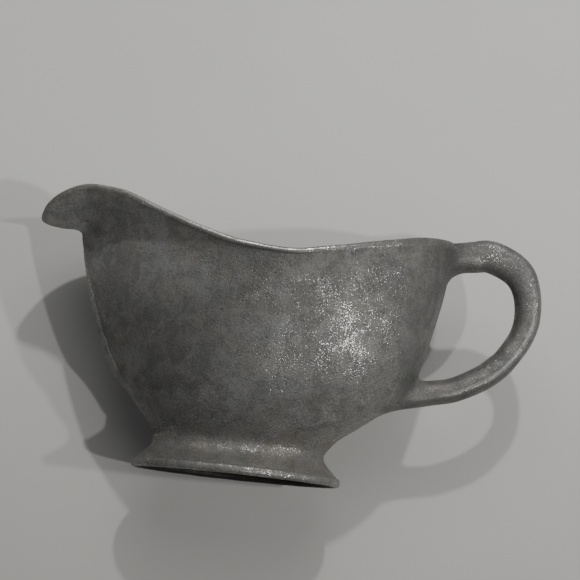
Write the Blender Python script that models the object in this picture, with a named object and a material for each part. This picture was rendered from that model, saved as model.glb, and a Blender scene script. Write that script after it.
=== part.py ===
"""A footed sauce boat in cast grey pewter, spout towards -X and loop handle towards +X.

The bowl is two cast half shells that meet on the centre plane, with a raised solder seam down the sharp
front keel and a dressed seam down the back. A rounded wire finishes the rim, an oval pedestal with its own
wire carries the bowl, and a cast loop handle is soldered on at two collars. Metres, +Z up; the origin is on
the table, midway between the tip of the spout and the outermost point of the handle.
"""
import math

import bmesh
import bpy
import numpy as np

# ---- Driving dimensions ---------------------------------------------------------------------------------
BOWL_LENGTH = 0.1648        # top of the keel to the back of the bowl
BOWL_WIDTH = 0.0890         # across the widest place of the rim, without the rim wire
BOWL_WALL = 0.0028          # cast wall, measured across the rim
BOWL_FLOOR = 0.0036         # thickness of the floor over the foot
LIP_REACH = 0.0190          # tip of the pouring lip in front of the top of the keel
RIM_LOW = 0.0914            # lowest place of the rim above the table
RIM_RISE = 0.0241           # highest place of the rim, beside the pouring lip, over the lowest
LIP_DEPTH = 0.0185          # the keel turns out into the underside of the lip this far under the crest
HANDLE_REACH = 0.0400       # outermost point of the handle behind the bowl
HANDLE_LOW = 0.0420         # height of the handle's lower root
HANDLE_RISE = 0.0010        # top of the handle's middle line over the back of the rim
HANDLE_THICKNESS = 0.0108   # across the crest of the handle
HANDLE_SCALE = 1.0          # width of the handle's section, 1 as cast
FOOT_LENGTH = 0.0892        # over the foot wire
FOOT_WIDTH = 0.0580         # over the foot wire
FOOT_HEIGHT = 0.0145        # top of the pedestal, where the bowl is soldered on
FOOT_WALL = 0.0026          # cast wall of the pedestal
NECK_LENGTH = 0.0735        # waist of the pedestal
NECK_WIDTH = 0.0400
FOOT_FORWARD = 0.0033       # middle of the foot in front of the middle of the bowl's length
NECK_RAKE = 0.0011          # the bowl's bottom sits this far back on the pedestal
RIM_WIRE_HEIGHT = 0.0038
RIM_WIRE_PROUD = 0.0009     # how far the rim wire stands out from the wall
LIP_WIRE_HEIGHT = 0.0022    # the rim wire is drawn down thinner round the lip
SIDE_FLARE = 0.0120         # height of the turned-out top of the wall along the sides and back,
SHOULDER_FLARE = 0.0165     # and beside the spout
KEEL_FLARE_EXTRA = 0.0060   # the wall starts to turn out this much lower just beside the keel
INSIDE_LIFT = 0.0030        # the inside of the spout starts to turn out this much higher
FLOOR_CORNER = 0.0060       # rounding inside, where the floor meets the wall
FOOT_WIRE_HEIGHT = 0.0038
FOOT_WIRE_WIDTH = 0.0044
SEAM_THICKNESS = 0.0007     # solder standing proud of the keel
BACK_SEAM_THICKNESS = 0.0005
SEAM_BED = 0.0001           # a seam's underside stands this far off the gap between the halves
KEEL_SEAM_ANGLE = 9.5       # degrees of the plan outline that a seam covers on each side
BACK_SEAM_ANGLE = 2.4
SEAM_END = 0.0010           # a seam starts this far above the bowl's bottom
KEEL_SEAM_DROP = 0.0120     # the keel's seam stops this far under the lip
LOWER_ROOT_DROP = 0.0110    # the back seam leaves this much room under and over the handle's lower root,
LOWER_ROOT_RISE = 0.0160    # and under its upper root
UPPER_ROOT_DROP = 0.0220
COLLAR_LENGTH = 0.0060      # solder collar along the handle
COLLAR_FLARE = 0.0036       # how far the collar spreads on the bowl
COLLAR_EDGE = 0.0010        # thickness of the collar where it ends against the handle's shoulder
JOINT_HEIGHT = 0.0006       # thickness of the solder ring between foot and bowl
JOINT_INSET = 0.0002        # the ring sits this far inside the pedestal's top on each edge
GAP = 0.0003                # clearance between pieces that touch on the real object
ENVELOPE_RISE = 0.02        # the guide that trims the handle goes this far up past the rim

# ---- Shares and angles that give the surfaces their shape ------------------------------------------------
WIDEST_PLACE = 0.55         # where the bowl is widest, as a share of its length from the keel
MIDDLE_SHIFT = 1.6          # the widest place has moved there at one over this share of the height
KEEL_SHARPNESS = 2.0        # how sharp the keel is in plan
NECK_SHARPNESS = 1.35       # it is rounder down at the neck
KEEL_INSET = 1.35           # metal behind the keel, as a share of the wall
FLOOR_THICKENING = 0.45     # the wall is this much thicker at the floor
CORNER_END = 0.3            # the floor's rounding ends at this share of the wall's rows
LIP_ANGLE = 34.0            # plan angle where the pouring lip has blended into the side
LIP_UNDERSIDE = 0.34        # share of the lip's rows that curl under it
LIP_UPTURN = 0.42           # share of them where it starts to turn up to its tip
LIP_SHELF = 0.50            # share of the lip's height where it runs nearly level
PLAIN_LIP_ANGLE = 14.0      # plan angle where the wire starts to stand out from the plain lip,
PROUD_GROWTH = 30.0         # and how much further round it stands out fully
THIN_WIRE_ANGLE = 18.0      # plan angle where the wire starts to get taller,
TALL_GROWTH = 40.0          # and how much further round it is at full height
WIRE_END_ANGLE = 176.0      # plan angle where it has died away under the handle
WIRE_FADE = 16.0
WIRE_ROUNDNESS = 0.6        # of its section, where 1 is an ellipse and 0 a rectangle
FOOT_CURVE = 1.8            # how quickly the pedestal flares to its base
CREST_PLACE = 0.66          # where the handle's crest lies, from the inner edge (0) to the outer edge (1)
ROOT_SWELL = 0.30           # the handle is this much thicker where it meets the bowl
UPPER_SWELL_END = 0.25      # share along the handle where the upper root's swell has died away,
LOWER_SWELL_START = 0.80    # and where the lower root's starts
SECTION_ROUNDNESS = 0.85
COLLAR_SIDE_SPREAD = 0.7    # a collar spreads this much less to the sides than to the finger hole
COLLAR_SINK = 0.9           # a collar starts inside the wall by this share of its length, to be trimmed
COLLAR_CURVE = 1.6          # how quickly its spread dies away
SHOULDER_RUN = 0.004        # share of the handle taken up by its sloping shoulder at a spigot
ROOT_SEARCH = 0.2           # a root leaves the bowl within this share of the handle's ends

# Rim: plan angle from the spout, then shares of the length from lip tip to back, of the half width, and of
# the rise from the lowest rim to the crest.
RIM_LINE = [(0, 0.0, 0.0, 0.56), (8, 0.0152, 0.20, 0.68), (16, 0.0516, 0.369, 0.86), (26, 0.1196, 0.523, 1.0),
            (38, 0.2033, 0.662, 0.90), (50, 0.2962, 0.806, 0.60), (62, 0.394, 0.923, 0.29),
            (76, 0.50, 0.989, 0.06), (90, 0.598, 1.0, 0.0), (106, 0.701, 0.962, 0.145),
            (124, 0.815, 0.825, 0.385), (144, 0.921, 0.585, 0.62), (162, 0.981, 0.309, 0.77),
            (180, 1.0, 0.0, 0.875)]
RIM_BACK_SHARE = RIM_LINE[-1][3]

# ---- Places that follow from them -----------------------------------------------------------------------
OVERALL_LENGTH = LIP_REACH + BOWL_LENGTH + HANDLE_REACH
LIP_TIP_X = -OVERALL_LENGTH / 2.0
KEEL_TOP_X = LIP_TIP_X + LIP_REACH
BACK_X = KEEL_TOP_X + BOWL_LENGTH
FOOT_X = (KEEL_TOP_X + BACK_X) / 2.0 - FOOT_FORWARD
RIM_CREST = RIM_LOW + RIM_RISE
KEEL_TOP = RIM_CREST - LIP_DEPTH
BOWL_BOTTOM = FOOT_HEIGHT + JOINT_HEIGHT + 2.0 * GAP
FLOOR_TOP = BOWL_BOTTOM + BOWL_FLOOR
RIM_BACK = RIM_LOW + RIM_RISE * RIM_BACK_SHARE
HANDLE_SPAN = RIM_BACK + HANDLE_RISE - HANDLE_LOW

# ---- How finely the surfaces are divided -----------------------------------------------------------------
PLAN_STEPS = 26
ANGLE_CROWDING = 1.25       # above 1 the steps are closer together round the lip
ROW_CROWDING = 1.25         # above 1 the rows are closer together near the floor
BODY_ROWS = 9
FLARE_ROWS = 7
RING_STEPS = 56
HANDLE_STEPS = 34
SECTION_POINTS = 12
WIRE_POINTS = 10
SEAM_HALF_STEPS = 2
COLLAR_ROWS = 7
SPIGOT_ROWS = 4
FOOT_ROWS = 9

# Keel and back of the bowl: share of the height from bowl bottom to keel top, share of the bowl length
# measured from the foot's waist outwards to the full length.
KEEL_LINE = [(0.0, 0.0), (0.17, 0.282), (0.287, 0.496), (0.472, 0.671), (0.662, 0.806), (0.856, 0.93),
             (1.0, 1.0)]
BACK_LINE = [(0.0, 0.0), (0.03, 0.045), (0.1275, 0.26), (0.224, 0.469), (0.34, 0.665), (0.46, 0.766),
             (0.615, 0.833), (0.916, 0.944), (1.2, 1.0)]
# Half width of the bowl: share of the same height, share of the way from the neck to the full half width.
BELLY_LINE = [(0.0, 0.0), (0.05, 0.22), (0.14, 0.52), (0.3, 0.8), (0.52, 0.95), (0.8, 1.0), (1.0, 1.0)]
# Middle line of the handle: distance behind the bowl's back and height, as shares of the handle's reach and
# of its height span, with the width of the section there. Where the lower arm runs in under the bowl, the
# distance is a share of the bowl's overhang at the lower root.
HANDLE_LINE = [(-0.30, 0.900, 0.0136), (-0.05, 0.907, 0.0136), (0.21, 0.919, 0.0140), (0.42, 0.924, 0.0144),
               (0.70, 0.852, 0.0142), (0.8275, 0.730, 0.0124), (0.855, 0.569, 0.0114),
               (0.80, 0.438, 0.0108), (0.6575, 0.302, 0.0106), (0.55, 0.232, 0.0110),
               (0.38, 0.154, 0.0110), (0.10, 0.071, 0.0106), (-0.288, 0.0405, 0.0108),
               (-0.6465, 0.021, 0.0112), (-1.058, 0.004, 0.0120), (-1.528, -0.014, 0.0125)]


def flow(points, at):
    """Value at a place on a smooth curve through (place, value) points, which never overshoots them."""
    places = np.array([point[0] for point in points], float)
    values = np.array([point[1] for point in points], float)
    steps = np.diff(places)
    slopes = np.diff(values) / steps
    tangents = np.zeros(len(points))
    tangents[0] = slopes[0]
    tangents[-1] = slopes[-1]
    for i in range(1, len(points) - 1):
        if slopes[i - 1] * slopes[i] > 0.0:
            before = 2.0 * steps[i] + steps[i - 1]
            after = steps[i] + 2.0 * steps[i - 1]
            tangents[i] = (before + after) / (before / slopes[i - 1] + after / slopes[i])
    at = min(max(at, places[0]), places[-1])
    k = min(int(np.searchsorted(places, at, side="right")) - 1, len(steps) - 1)
    t = (at - places[k]) / steps[k]
    square, cube = t * t, t * t * t
    return ((2 * cube - 3 * square + 1) * values[k] + (cube - 2 * square + t) * steps[k] * tangents[k]
            + (3 * square - 2 * cube) * values[k + 1] + (cube - square) * steps[k] * tangents[k + 1])


def mirrored(points, sign):
    """The same points with one neighbour repeated across each end, so the curve crosses the ends evenly."""
    first = (-points[1][0], sign * points[1][1])
    last = (360.0 - points[-2][0], sign * points[-2][1])
    return [first] + points + [last]


RIM_ALONG = mirrored([(row[0], row[1]) for row in RIM_LINE], 1.0)
RIM_ACROSS = mirrored([(row[0], row[2]) for row in RIM_LINE], -1.0)
RIM_UP = mirrored([(row[0], row[3]) for row in RIM_LINE], 1.0)


def mix(start, end, share):
    return start + (end - start) * share


def ease(share):
    share = min(max(share, 0.0), 1.0)
    return share * share * (3.0 - 2.0 * share)


def rounded(value, power):
    """A cosine or sine raised to a power with its sign kept, which squares up a round section."""
    return math.copysign(abs(value) ** power, value)


# ---- The bowl's surfaces ---------------------------------------------------------------------------------
def bowl_outline(angle, height, inset):
    """Plan outline of the bowl at a height: angle 0 is the keel and 180 the back, inset is inwards."""
    share = (height - BOWL_BOTTOM) / (KEEL_TOP - BOWL_BOTTOM)
    neck_front = FOOT_X - NECK_LENGTH / 2.0 + NECK_RAKE
    neck_back = FOOT_X + NECK_LENGTH / 2.0 + NECK_RAKE
    front = mix(neck_front, KEEL_TOP_X, flow(KEEL_LINE, share)) + KEEL_INSET * inset
    back = mix(neck_back, BACK_X, flow(BACK_LINE, share)) - inset
    half_width = mix(NECK_WIDTH / 2.0, BOWL_WIDTH / 2.0, flow(BELLY_LINE, share)) - inset
    middle = mix(FOOT_X, mix(KEEL_TOP_X, BACK_X, WIDEST_PLACE), ease(share * MIDDLE_SHIFT))
    sharpness = mix(NECK_SHARPNESS, KEEL_SHARPNESS, ease(share * 4.0))
    turn = math.radians(angle)
    if angle < 90.0:
        x = middle - (middle - front) * math.cos(turn)
        return x, half_width * math.sin(turn) ** sharpness
    x = middle - (back - middle) * math.cos(turn)
    return x, half_width * math.sin(turn)


def rim_line(angle):
    """Top outer edge of the bowl at a plan angle, with the rim wire on it."""
    x = mix(LIP_TIP_X, BACK_X, flow(RIM_ALONG, angle))
    y = BOWL_WIDTH / 2.0 * flow(RIM_ACROSS, angle)
    z = mix(RIM_LOW, RIM_CREST, flow(RIM_UP, angle))
    return np.array([x, y, z])


def rim_normal(angle):
    """Level direction that points out of the bowl, square to the rim."""
    step = 1.0
    along = rim_line(angle + step) - rim_line(angle - step)
    if abs(angle) < 1e-6:
        return np.array([-1.0, 0.0, 0.0])
    if abs(angle - 180.0) < 1e-6:
        return np.array([1.0, 0.0, 0.0])
    normal = np.array([-along[1], along[0], 0.0])
    return normal / np.linalg.norm(normal)


def wire_height(angle):
    return mix(LIP_WIRE_HEIGHT, RIM_WIRE_HEIGHT, ease((angle - THIN_WIRE_ANGLE) / TALL_GROWTH))


def wire_proud(angle):
    """The wire stands out along the sides and dies away round the lip and under the handle."""
    growth = ease((angle - PLAIN_LIP_ANGLE) / PROUD_GROWTH)
    return RIM_WIRE_PROUD * growth * ease((WIRE_END_ANGLE - angle) / WIRE_FADE)


def shell_top(angle):
    return rim_line(angle)[2] - wire_height(angle) - GAP


def flare_height(angle):
    """How far below the shell's top edge the wall starts to turn outwards."""
    at_keel = shell_top(0.0) - KEEL_TOP
    behind_spout = mix(SIDE_FLARE, SHOULDER_FLARE, 2.0 / 3.0)
    return flow([(0.0, at_keel), (14.0, at_keel + KEEL_FLARE_EXTRA), (30.0, SHOULDER_FLARE),
                 (55.0, behind_spout), (90.0, SIDE_FLARE), (180.0, SIDE_FLARE)], angle)


def flare_point(angle, share, inset):
    """Point in the turned-out top of the wall, from its start (0) to the shell's top edge (1)."""
    front = 1.0 - ease(angle / LIP_ANGLE)
    lift = INSIDE_LIFT * front * inset / BOWL_WALL
    start = shell_top(angle) - flare_height(angle) + lift
    low_part = LIP_SHELF * (1.0 - (1.0 - min(share / LIP_UNDERSIDE, 1.0)) ** 2)
    high_part = (1.0 - LIP_SHELF) * max((share - LIP_UPTURN) / (1.0 - LIP_UPTURN), 0.0) ** 2
    rise = mix(share, low_part + high_part, front)
    z = mix(start, shell_top(angle), rise)
    x, y = bowl_outline(angle, z, inset)
    edge_x, edge_y = bowl_outline(angle, shell_top(angle), inset)
    edge = rim_line(angle) - inset * rim_normal(angle)
    out = ease(share)
    return x + (edge[0] - edge_x) * out, y + (edge[1] - edge_y) * out, z


def shell_column(angle, inset):
    """Points up the wall at one plan angle, outside (inset 0) or inside."""
    bottom = FLOOR_TOP if inset > 0.0 else BOWL_BOTTOM
    corner = FLOOR_CORNER if inset > 0.0 else 0.0
    start_z = flare_point(angle, 0.0, inset)[2]
    column = []
    for row in range(BODY_ROWS):
        share = row / BODY_ROWS
        height = mix(bottom, start_z, share ** ROW_CROWDING)
        rounding = corner * (1.0 - math.sin(min(share / CORNER_END, 1.0) * math.pi / 2.0))
        thicker = inset * (1.0 + FLOOR_THICKENING * (1.0 - share))
        x, y = bowl_outline(angle, height, thicker + rounding if inset > 0.0 else inset)
        column.append((x, y, height))
    for row in range(FLARE_ROWS + 1):
        column.append(flare_point(angle, row / FLARE_ROWS, inset))
    return column


def plan_angles(steps):
    """Plan angles from spout to back, closer together round the lip."""
    return [180.0 * (i / steps) ** ANGLE_CROWDING for i in range(steps + 1)]


# ---- Mesh helpers -----------------------------------------------------------------------------------------
def new_object(name, mesh_builder, finish):
    """Make a bmesh object, point its faces out and shade its round faces smooth."""
    mesh = bpy.data.meshes.new(name)
    work = bmesh.new()
    mesh_builder(work)
    bmesh.ops.recalc_face_normals(work, faces=work.faces)
    work.to_mesh(mesh)
    work.free()
    mesh.materials.append(finish)
    mesh.shade_smooth()
    mesh.set_sharp_from_angle(angle=math.radians(40.0))
    thing = bpy.data.objects.new(name, mesh)
    bpy.context.scene.collection.objects.link(thing)
    return thing


def add_grid(work, rows):
    """Add a grid of vertices, one list of points for each row."""
    return [[work.verts.new(point) for point in row] for row in rows]


def skin(work, first, second, closed):
    """Join two rows of vertices with faces, as a loop if closed."""
    count = len(first)
    last = count if closed else count - 1
    for i in range(last):
        j = (i + 1) % count
        work.faces.new((first[i], first[j], second[j], second[i]))


def loft_rings(work, rings, closed_path):
    """Skin closed rings one after the other; the ends are capped unless the path is closed."""
    grid = add_grid(work, rings)
    pairs = len(grid) if closed_path else len(grid) - 1
    for i in range(pairs):
        skin(work, grid[i], grid[(i + 1) % len(grid)], closed=True)
    if not closed_path:
        work.faces.new(grid[0])
        work.faces.new(grid[-1])


def subtract(target, cutter):
    """Cut one object with another, which is kept only as a guide."""
    cut = target.modifiers.new("Cut by " + cutter.name, "BOOLEAN")
    cut.operation = "DIFFERENCE"
    cut.solver = "EXACT"
    cut.object = cutter
    cutter.hide_render = True
    cutter.display_type = "WIRE"


# ---- Finishes ---------------------------------------------------------------------------------------------
def pewter(name, colour, roughness):
    """Cast pewter: a grey metal, darker or lighter from one casting to the next."""
    finish = bpy.data.materials.new(name)
    finish.use_nodes = True
    shader = finish.node_tree.nodes["Principled BSDF"]
    shader.inputs["Base Color"].default_value = (*colour, 1.0)
    shader.inputs["Roughness"].default_value = roughness
    shader.inputs["Metallic"].default_value = 0.85
    return finish


# ---- The pieces -------------------------------------------------------------------------------------------
def build_half_shell(name, side, finish):
    """One cast half of the bowl, on the -Y (side -1) or the +Y (side 1) side of the centre plane."""
    def place(point):
        return point[0], side * (point[1] + GAP / 2.0), point[2]

    def build(work):
        angles = plan_angles(PLAN_STEPS)
        outer = add_grid(work, [[place(p) for p in shell_column(a, 0.0)] for a in angles])
        inner = add_grid(work, [[place(p) for p in shell_column(a, BOWL_WALL)] for a in angles])
        for i in range(PLAN_STEPS):
            skin(work, outer[i], outer[i + 1], closed=False)
            skin(work, inner[i], inner[i + 1], closed=False)
            work.faces.new((outer[i][-1], outer[i + 1][-1], inner[i + 1][-1], inner[i][-1]))
        skin(work, outer[0], inner[0], closed=False)
        skin(work, outer[-1], inner[-1], closed=False)
        work.faces.new((outer[0][0], outer[-1][0], inner[-1][0], inner[0][0]))
        work.faces.new([column[0] for column in outer])
        work.faces.new([column[0] for column in inner])

    return new_object(name, build, finish)


def wire_section(angle, side):
    """Rounded section of the rim wire at a plan angle, wider at the bottom than the top."""
    edge = rim_line(angle)
    normal = rim_normal(angle)
    tall = wire_height(angle)
    proud = wire_proud(angle)
    wide = BOWL_WALL + proud
    centre = edge + normal * (proud - wide / 2.0) - np.array([0.0, 0.0, tall / 2.0])
    points = []
    for k in range(WIRE_POINTS):
        turn = 2.0 * math.pi * (k + 0.5) / WIRE_POINTS
        across = wide / 2.0 * rounded(math.cos(turn), WIRE_ROUNDNESS)
        up = tall / 2.0 * rounded(math.sin(turn), WIRE_ROUNDNESS)
        point = centre + normal * across + np.array([0.0, 0.0, up])
        points.append((point[0], side * point[1], point[2]))
    return points


def build_rim_wire(finish):
    """The rounded wire along the whole rim, one closed loop."""
    def build(work):
        angles = plan_angles(PLAN_STEPS)
        near = [wire_section(angle, -1.0) for angle in angles]
        far = [wire_section(angle, 1.0) for angle in reversed(angles[1:-1])]
        loft_rings(work, near + far, closed_path=True)

    return new_object("rim_wire", build, finish)


def facet_outline(angle, height, inset, rows):
    """Plan outline at a height on the flat facets between the shell's rows."""
    above = next((z for z in rows if z >= height), rows[-1])
    below = max((z for z in rows if z <= height), default=rows[0])
    share = (height - below) / (above - below) if above > below else 0.0
    low_x, low_y = bowl_outline(angle, below, inset)
    high_x, high_y = bowl_outline(angle, above, inset)
    return mix(low_x, high_x, share), mix(low_y, high_y, share)


def build_seam(name, centre_angle, half_angle, low, high, thickness, finish):
    """A strip of solder over the joint of the halves, from one height to another."""
    turns = [k / SEAM_HALF_STEPS for k in range(-SEAM_HALF_STEPS, SEAM_HALF_STEPS + 1)]
    rows = [point[2] for point in shell_column(centre_angle, 0.0)]
    heights = [low] + [z for z in rows if low < z < high] + [high]

    def layer(height, offset):
        points = []
        for turn in turns:
            angle = abs(centre_angle - abs(turn) * half_angle)
            x, y = facet_outline(angle, height, -offset, rows)
            spread = y + (0.0 if turn == 0.0 else GAP / 2.0)
            points.append((x, math.copysign(spread, turn) if turn else 0.0, height))
        return points

    def build(work):
        rings = []
        for height in heights:
            rings.append(layer(height, GAP + SEAM_BED) + layer(height, GAP + thickness)[::-1])
        loft_rings(work, rings, closed_path=False)

    return new_object(name, build, finish)


def oval(length, width, height, steps=RING_STEPS):
    """Level ellipse about the foot's middle."""
    ring = []
    for k in range(steps):
        turn = 2.0 * math.pi * k / steps
        ring.append((FOOT_X + length / 2.0 * math.cos(turn), width / 2.0 * math.sin(turn), height))
    return ring


def foot_size(share):
    """Length and width of the pedestal from its bottom edge (0) to its neck (1)."""
    top = FOOT_WIRE_HEIGHT + GAP
    base_length = FOOT_LENGTH - 2.0 * GAP
    base_width = FOOT_WIDTH - 2.0 * GAP
    spread = (1.0 - share) ** FOOT_CURVE
    height = mix(top, FOOT_HEIGHT, share)
    return mix(NECK_LENGTH, base_length, spread), mix(NECK_WIDTH, base_width, spread), height


def build_foot(finish):
    """Hollow flared pedestal, open below; the foot wire goes round under its edge."""
    def build(work):
        rings = []
        for row in range(FOOT_ROWS + 1):
            length, width, height = foot_size(row / FOOT_ROWS)
            rings.append(oval(length, width, height))
        wall = 2.0 * FOOT_WALL
        for row in range(FOOT_ROWS, -1, -1):
            length, width, height = foot_size(row / FOOT_ROWS)
            rings.append(oval(length - wall, width - wall, height))
        loft_rings(work, rings, closed_path=True)

    return new_object("foot", build, finish)


def build_foot_wire(finish):
    """Rounded wire that the boat stands on, flat underneath."""
    profile = [(-0.34, 0.0), (-0.5, 0.28), (-0.5, 0.62), (-0.22, 1.0), (0.22, 1.0), (0.5, 0.62), (0.5, 0.28),
               (0.34, 0.0)]

    def build(work):
        rings = []
        middle_length = FOOT_LENGTH - FOOT_WIRE_WIDTH
        middle_width = FOOT_WIDTH - FOOT_WIRE_WIDTH
        for across, up in profile:
            grow = 2.0 * across * FOOT_WIRE_WIDTH
            rings.append(oval(middle_length + grow, middle_width + grow, up * FOOT_WIRE_HEIGHT))
        loft_rings(work, rings, closed_path=True)

    return new_object("foot_wire", build, finish)


def build_foot_joint(finish):
    """Ring of solder between the pedestal's top and the underside of the bowl."""
    low = FOOT_HEIGHT + GAP
    high = low + JOINT_HEIGHT

    def build(work):
        outer_length = NECK_LENGTH - 2.0 * JOINT_INSET
        outer_width = NECK_WIDTH - 2.0 * JOINT_INSET
        wall = 2.0 * FOOT_WALL - 4.0 * JOINT_INSET
        rings = [oval(outer_length, outer_width, low), oval(outer_length, outer_width, high),
                 oval(outer_length - wall, outer_width - wall, high),
                 oval(outer_length - wall, outer_width - wall, low)]
        loft_rings(work, rings, closed_path=True)

    return new_object("foot_joint", build, finish)


def handle_place(share):
    """Middle line of the handle and the width of its section, from the upper root (0) to the lower (1)."""
    count = len(HANDLE_LINE) - 1
    at = share * count
    overhang = BACK_X - bowl_outline(180.0, HANDLE_LOW, 0.0)[0]
    distances = []
    for along, up, _ in HANDLE_LINE:
        under_bowl = along < 0.0 and up < 0.5
        distances.append(along * (overhang if under_bowl else HANDLE_REACH))
    x = BACK_X + spline(distances, at)
    z = HANDLE_LOW + HANDLE_SPAN * spline([row[1] for row in HANDLE_LINE], at)
    width = HANDLE_SCALE * spline([row[2] for row in HANDLE_LINE], at)
    return np.array([x, 0.0, z]), width


def spline(values, at):
    """Catmull-Rom curve through evenly counted values."""
    k = min(int(at), len(values) - 2)
    t = at - k
    before = values[max(k - 1, 0)]
    after = values[min(k + 2, len(values) - 1)]
    first, second = values[k], values[k + 1]
    return 0.5 * (2.0 * first + (second - before) * t
                  + (2.0 * before - 5.0 * first + 4.0 * second - after) * t * t
                  + (3.0 * first - 3.0 * second + after - before) * t * t * t)


def handle_frame(share):
    """Middle point, direction that points away from the finger hole, and section width."""
    step = 0.004
    ahead = handle_place(min(share + step, 1.0))[0]
    behind = handle_place(max(share - step, 0.0))[0]
    along = (ahead - behind) / np.linalg.norm(ahead - behind)
    middle, width = handle_place(share)
    outward = np.array([-along[2], 0.0, along[0]])
    return middle, outward, width


def handle_section(share, grow, spread=0.0):
    """Kite section with rounded corners and its crest on the side faces.

    It is grown all round by a distance, and spread further at its sides and on the finger hole's side.
    """
    middle, outward, width = handle_frame(share)
    near_upper = 1.0 - share / UPPER_SWELL_END
    near_lower = (share - LOWER_SWELL_START) / (1.0 - LOWER_SWELL_START)
    near_root = max(0.0, near_upper, near_lower)
    swell = 1.0 + ROOT_SWELL * near_root ** 2
    half_thick = HANDLE_THICKNESS / 2.0 * swell + grow + COLLAR_SIDE_SPREAD * spread
    inner = width * CREST_PLACE + grow + spread
    outer = width * (1.0 - CREST_PLACE) + grow
    crest = middle + outward * width * (CREST_PLACE - 0.5)
    points = []
    for k in range(SECTION_POINTS):
        turn = 2.0 * math.pi * k / SECTION_POINTS
        reach = outer if math.cos(turn) > 0.0 else inner
        across = reach * rounded(math.cos(turn), SECTION_ROUNDNESS)
        side = half_thick * rounded(math.sin(turn), SECTION_ROUNDNESS)
        point = crest + outward * across
        points.append((point[0], side, point[2]))
    return points


def root_crossing(inside, outside):
    """Share along the handle where its middle line leaves the bowl."""
    for _ in range(40):
        middle = (inside + outside) / 2.0
        point = handle_place(middle)[0]
        if point[0] < bowl_outline(180.0, point[2], 0.0)[0]:
            inside = middle
        else:
            outside = middle
    return outside


def share_for(length, share, direction):
    """How much of the handle's share a length along it takes up, near a share."""
    step = 0.01
    run = np.linalg.norm(handle_place(share + direction * step)[0] - handle_place(share)[0])
    return step * length / run


def collar_end(inside, outside):
    """Share where a root's collar ends, seen from the share inside the bowl."""
    direction = 1.0 if outside > inside else -1.0
    leave = root_crossing(inside, outside)
    return leave + direction * share_for(COLLAR_LENGTH, leave, direction)


def build_handle(finish):
    """Cast loop handle with a thinner spigot at each root for its collar, trimmed to the back of the bowl."""
    upper_end = collar_end(0.0, ROOT_SEARCH)
    lower_end = collar_end(1.0, 1.0 - ROOT_SEARCH)
    upper_shoulder = upper_end + share_for(GAP, upper_end, 1.0)
    lower_shoulder = lower_end - share_for(GAP, lower_end, -1.0)
    thinner = -(COLLAR_EDGE + GAP)

    def build(work):
        rings = []
        for i in range(SPIGOT_ROWS + 1):
            rings.append(handle_section(upper_shoulder * i / SPIGOT_ROWS, thinner))
        start = upper_shoulder + SHOULDER_RUN
        finish_share = lower_shoulder - SHOULDER_RUN
        for i in range(HANDLE_STEPS + 1):
            rings.append(handle_section(mix(start, finish_share, i / HANDLE_STEPS), 0.0))
        for i in range(SPIGOT_ROWS, -1, -1):
            rings.append(handle_section(1.0 - (1.0 - lower_shoulder) * i / SPIGOT_ROWS, thinner))
        loft_rings(work, rings, closed_path=False)

    return new_object("handle", build, finish)


def build_collar(name, inside, outside, finish):
    """Solder collar round a root's spigot, flush with the handle and spreading where it meets the bowl."""
    leave = root_crossing(inside, outside)
    end = collar_end(inside, outside)

    def build(work):
        rings = []
        start = leave - COLLAR_SINK * (end - leave)
        shares = [mix(start, end, row / COLLAR_ROWS) for row in range(COLLAR_ROWS + 1)]
        for row, share in enumerate(shares):
            spread = COLLAR_FLARE * (1.0 - row / COLLAR_ROWS) ** COLLAR_CURVE
            rings.append(handle_section(share, 0.0, spread))
        for share in reversed(shares):
            rings.append(handle_section(share, -COLLAR_EDGE))
        loft_rings(work, rings, closed_path=True)

    return new_object(name, build, finish)


def build_bowl_envelope():
    """Guide: the outside of the bowl and its rim wire grown by the clearance, carried up past the rim."""
    def build(work):
        angles = plan_angles(PLAN_STEPS)
        columns = []
        for angle in angles:
            column = shell_column(angle, -GAP)
            edge = rim_line(angle) + rim_normal(angle) * (wire_proud(angle) + GAP)
            column.append((edge[0], edge[1], column[-1][2] + GAP))
            column.append((edge[0], edge[1], RIM_CREST + ENVELOPE_RISE))
            columns.append(column)
        rings = []
        for row in range(len(columns[0])):
            near = [column[row] for column in columns]
            rings.append([(x, -y, z) for x, y, z in near] + [(x, y, z) for x, y, z in near[-2:0:-1]])
        loft_rings(work, rings, closed_path=False)

    return new_object("bowl_envelope", build, bpy.data.materials.new("guide"))


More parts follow.
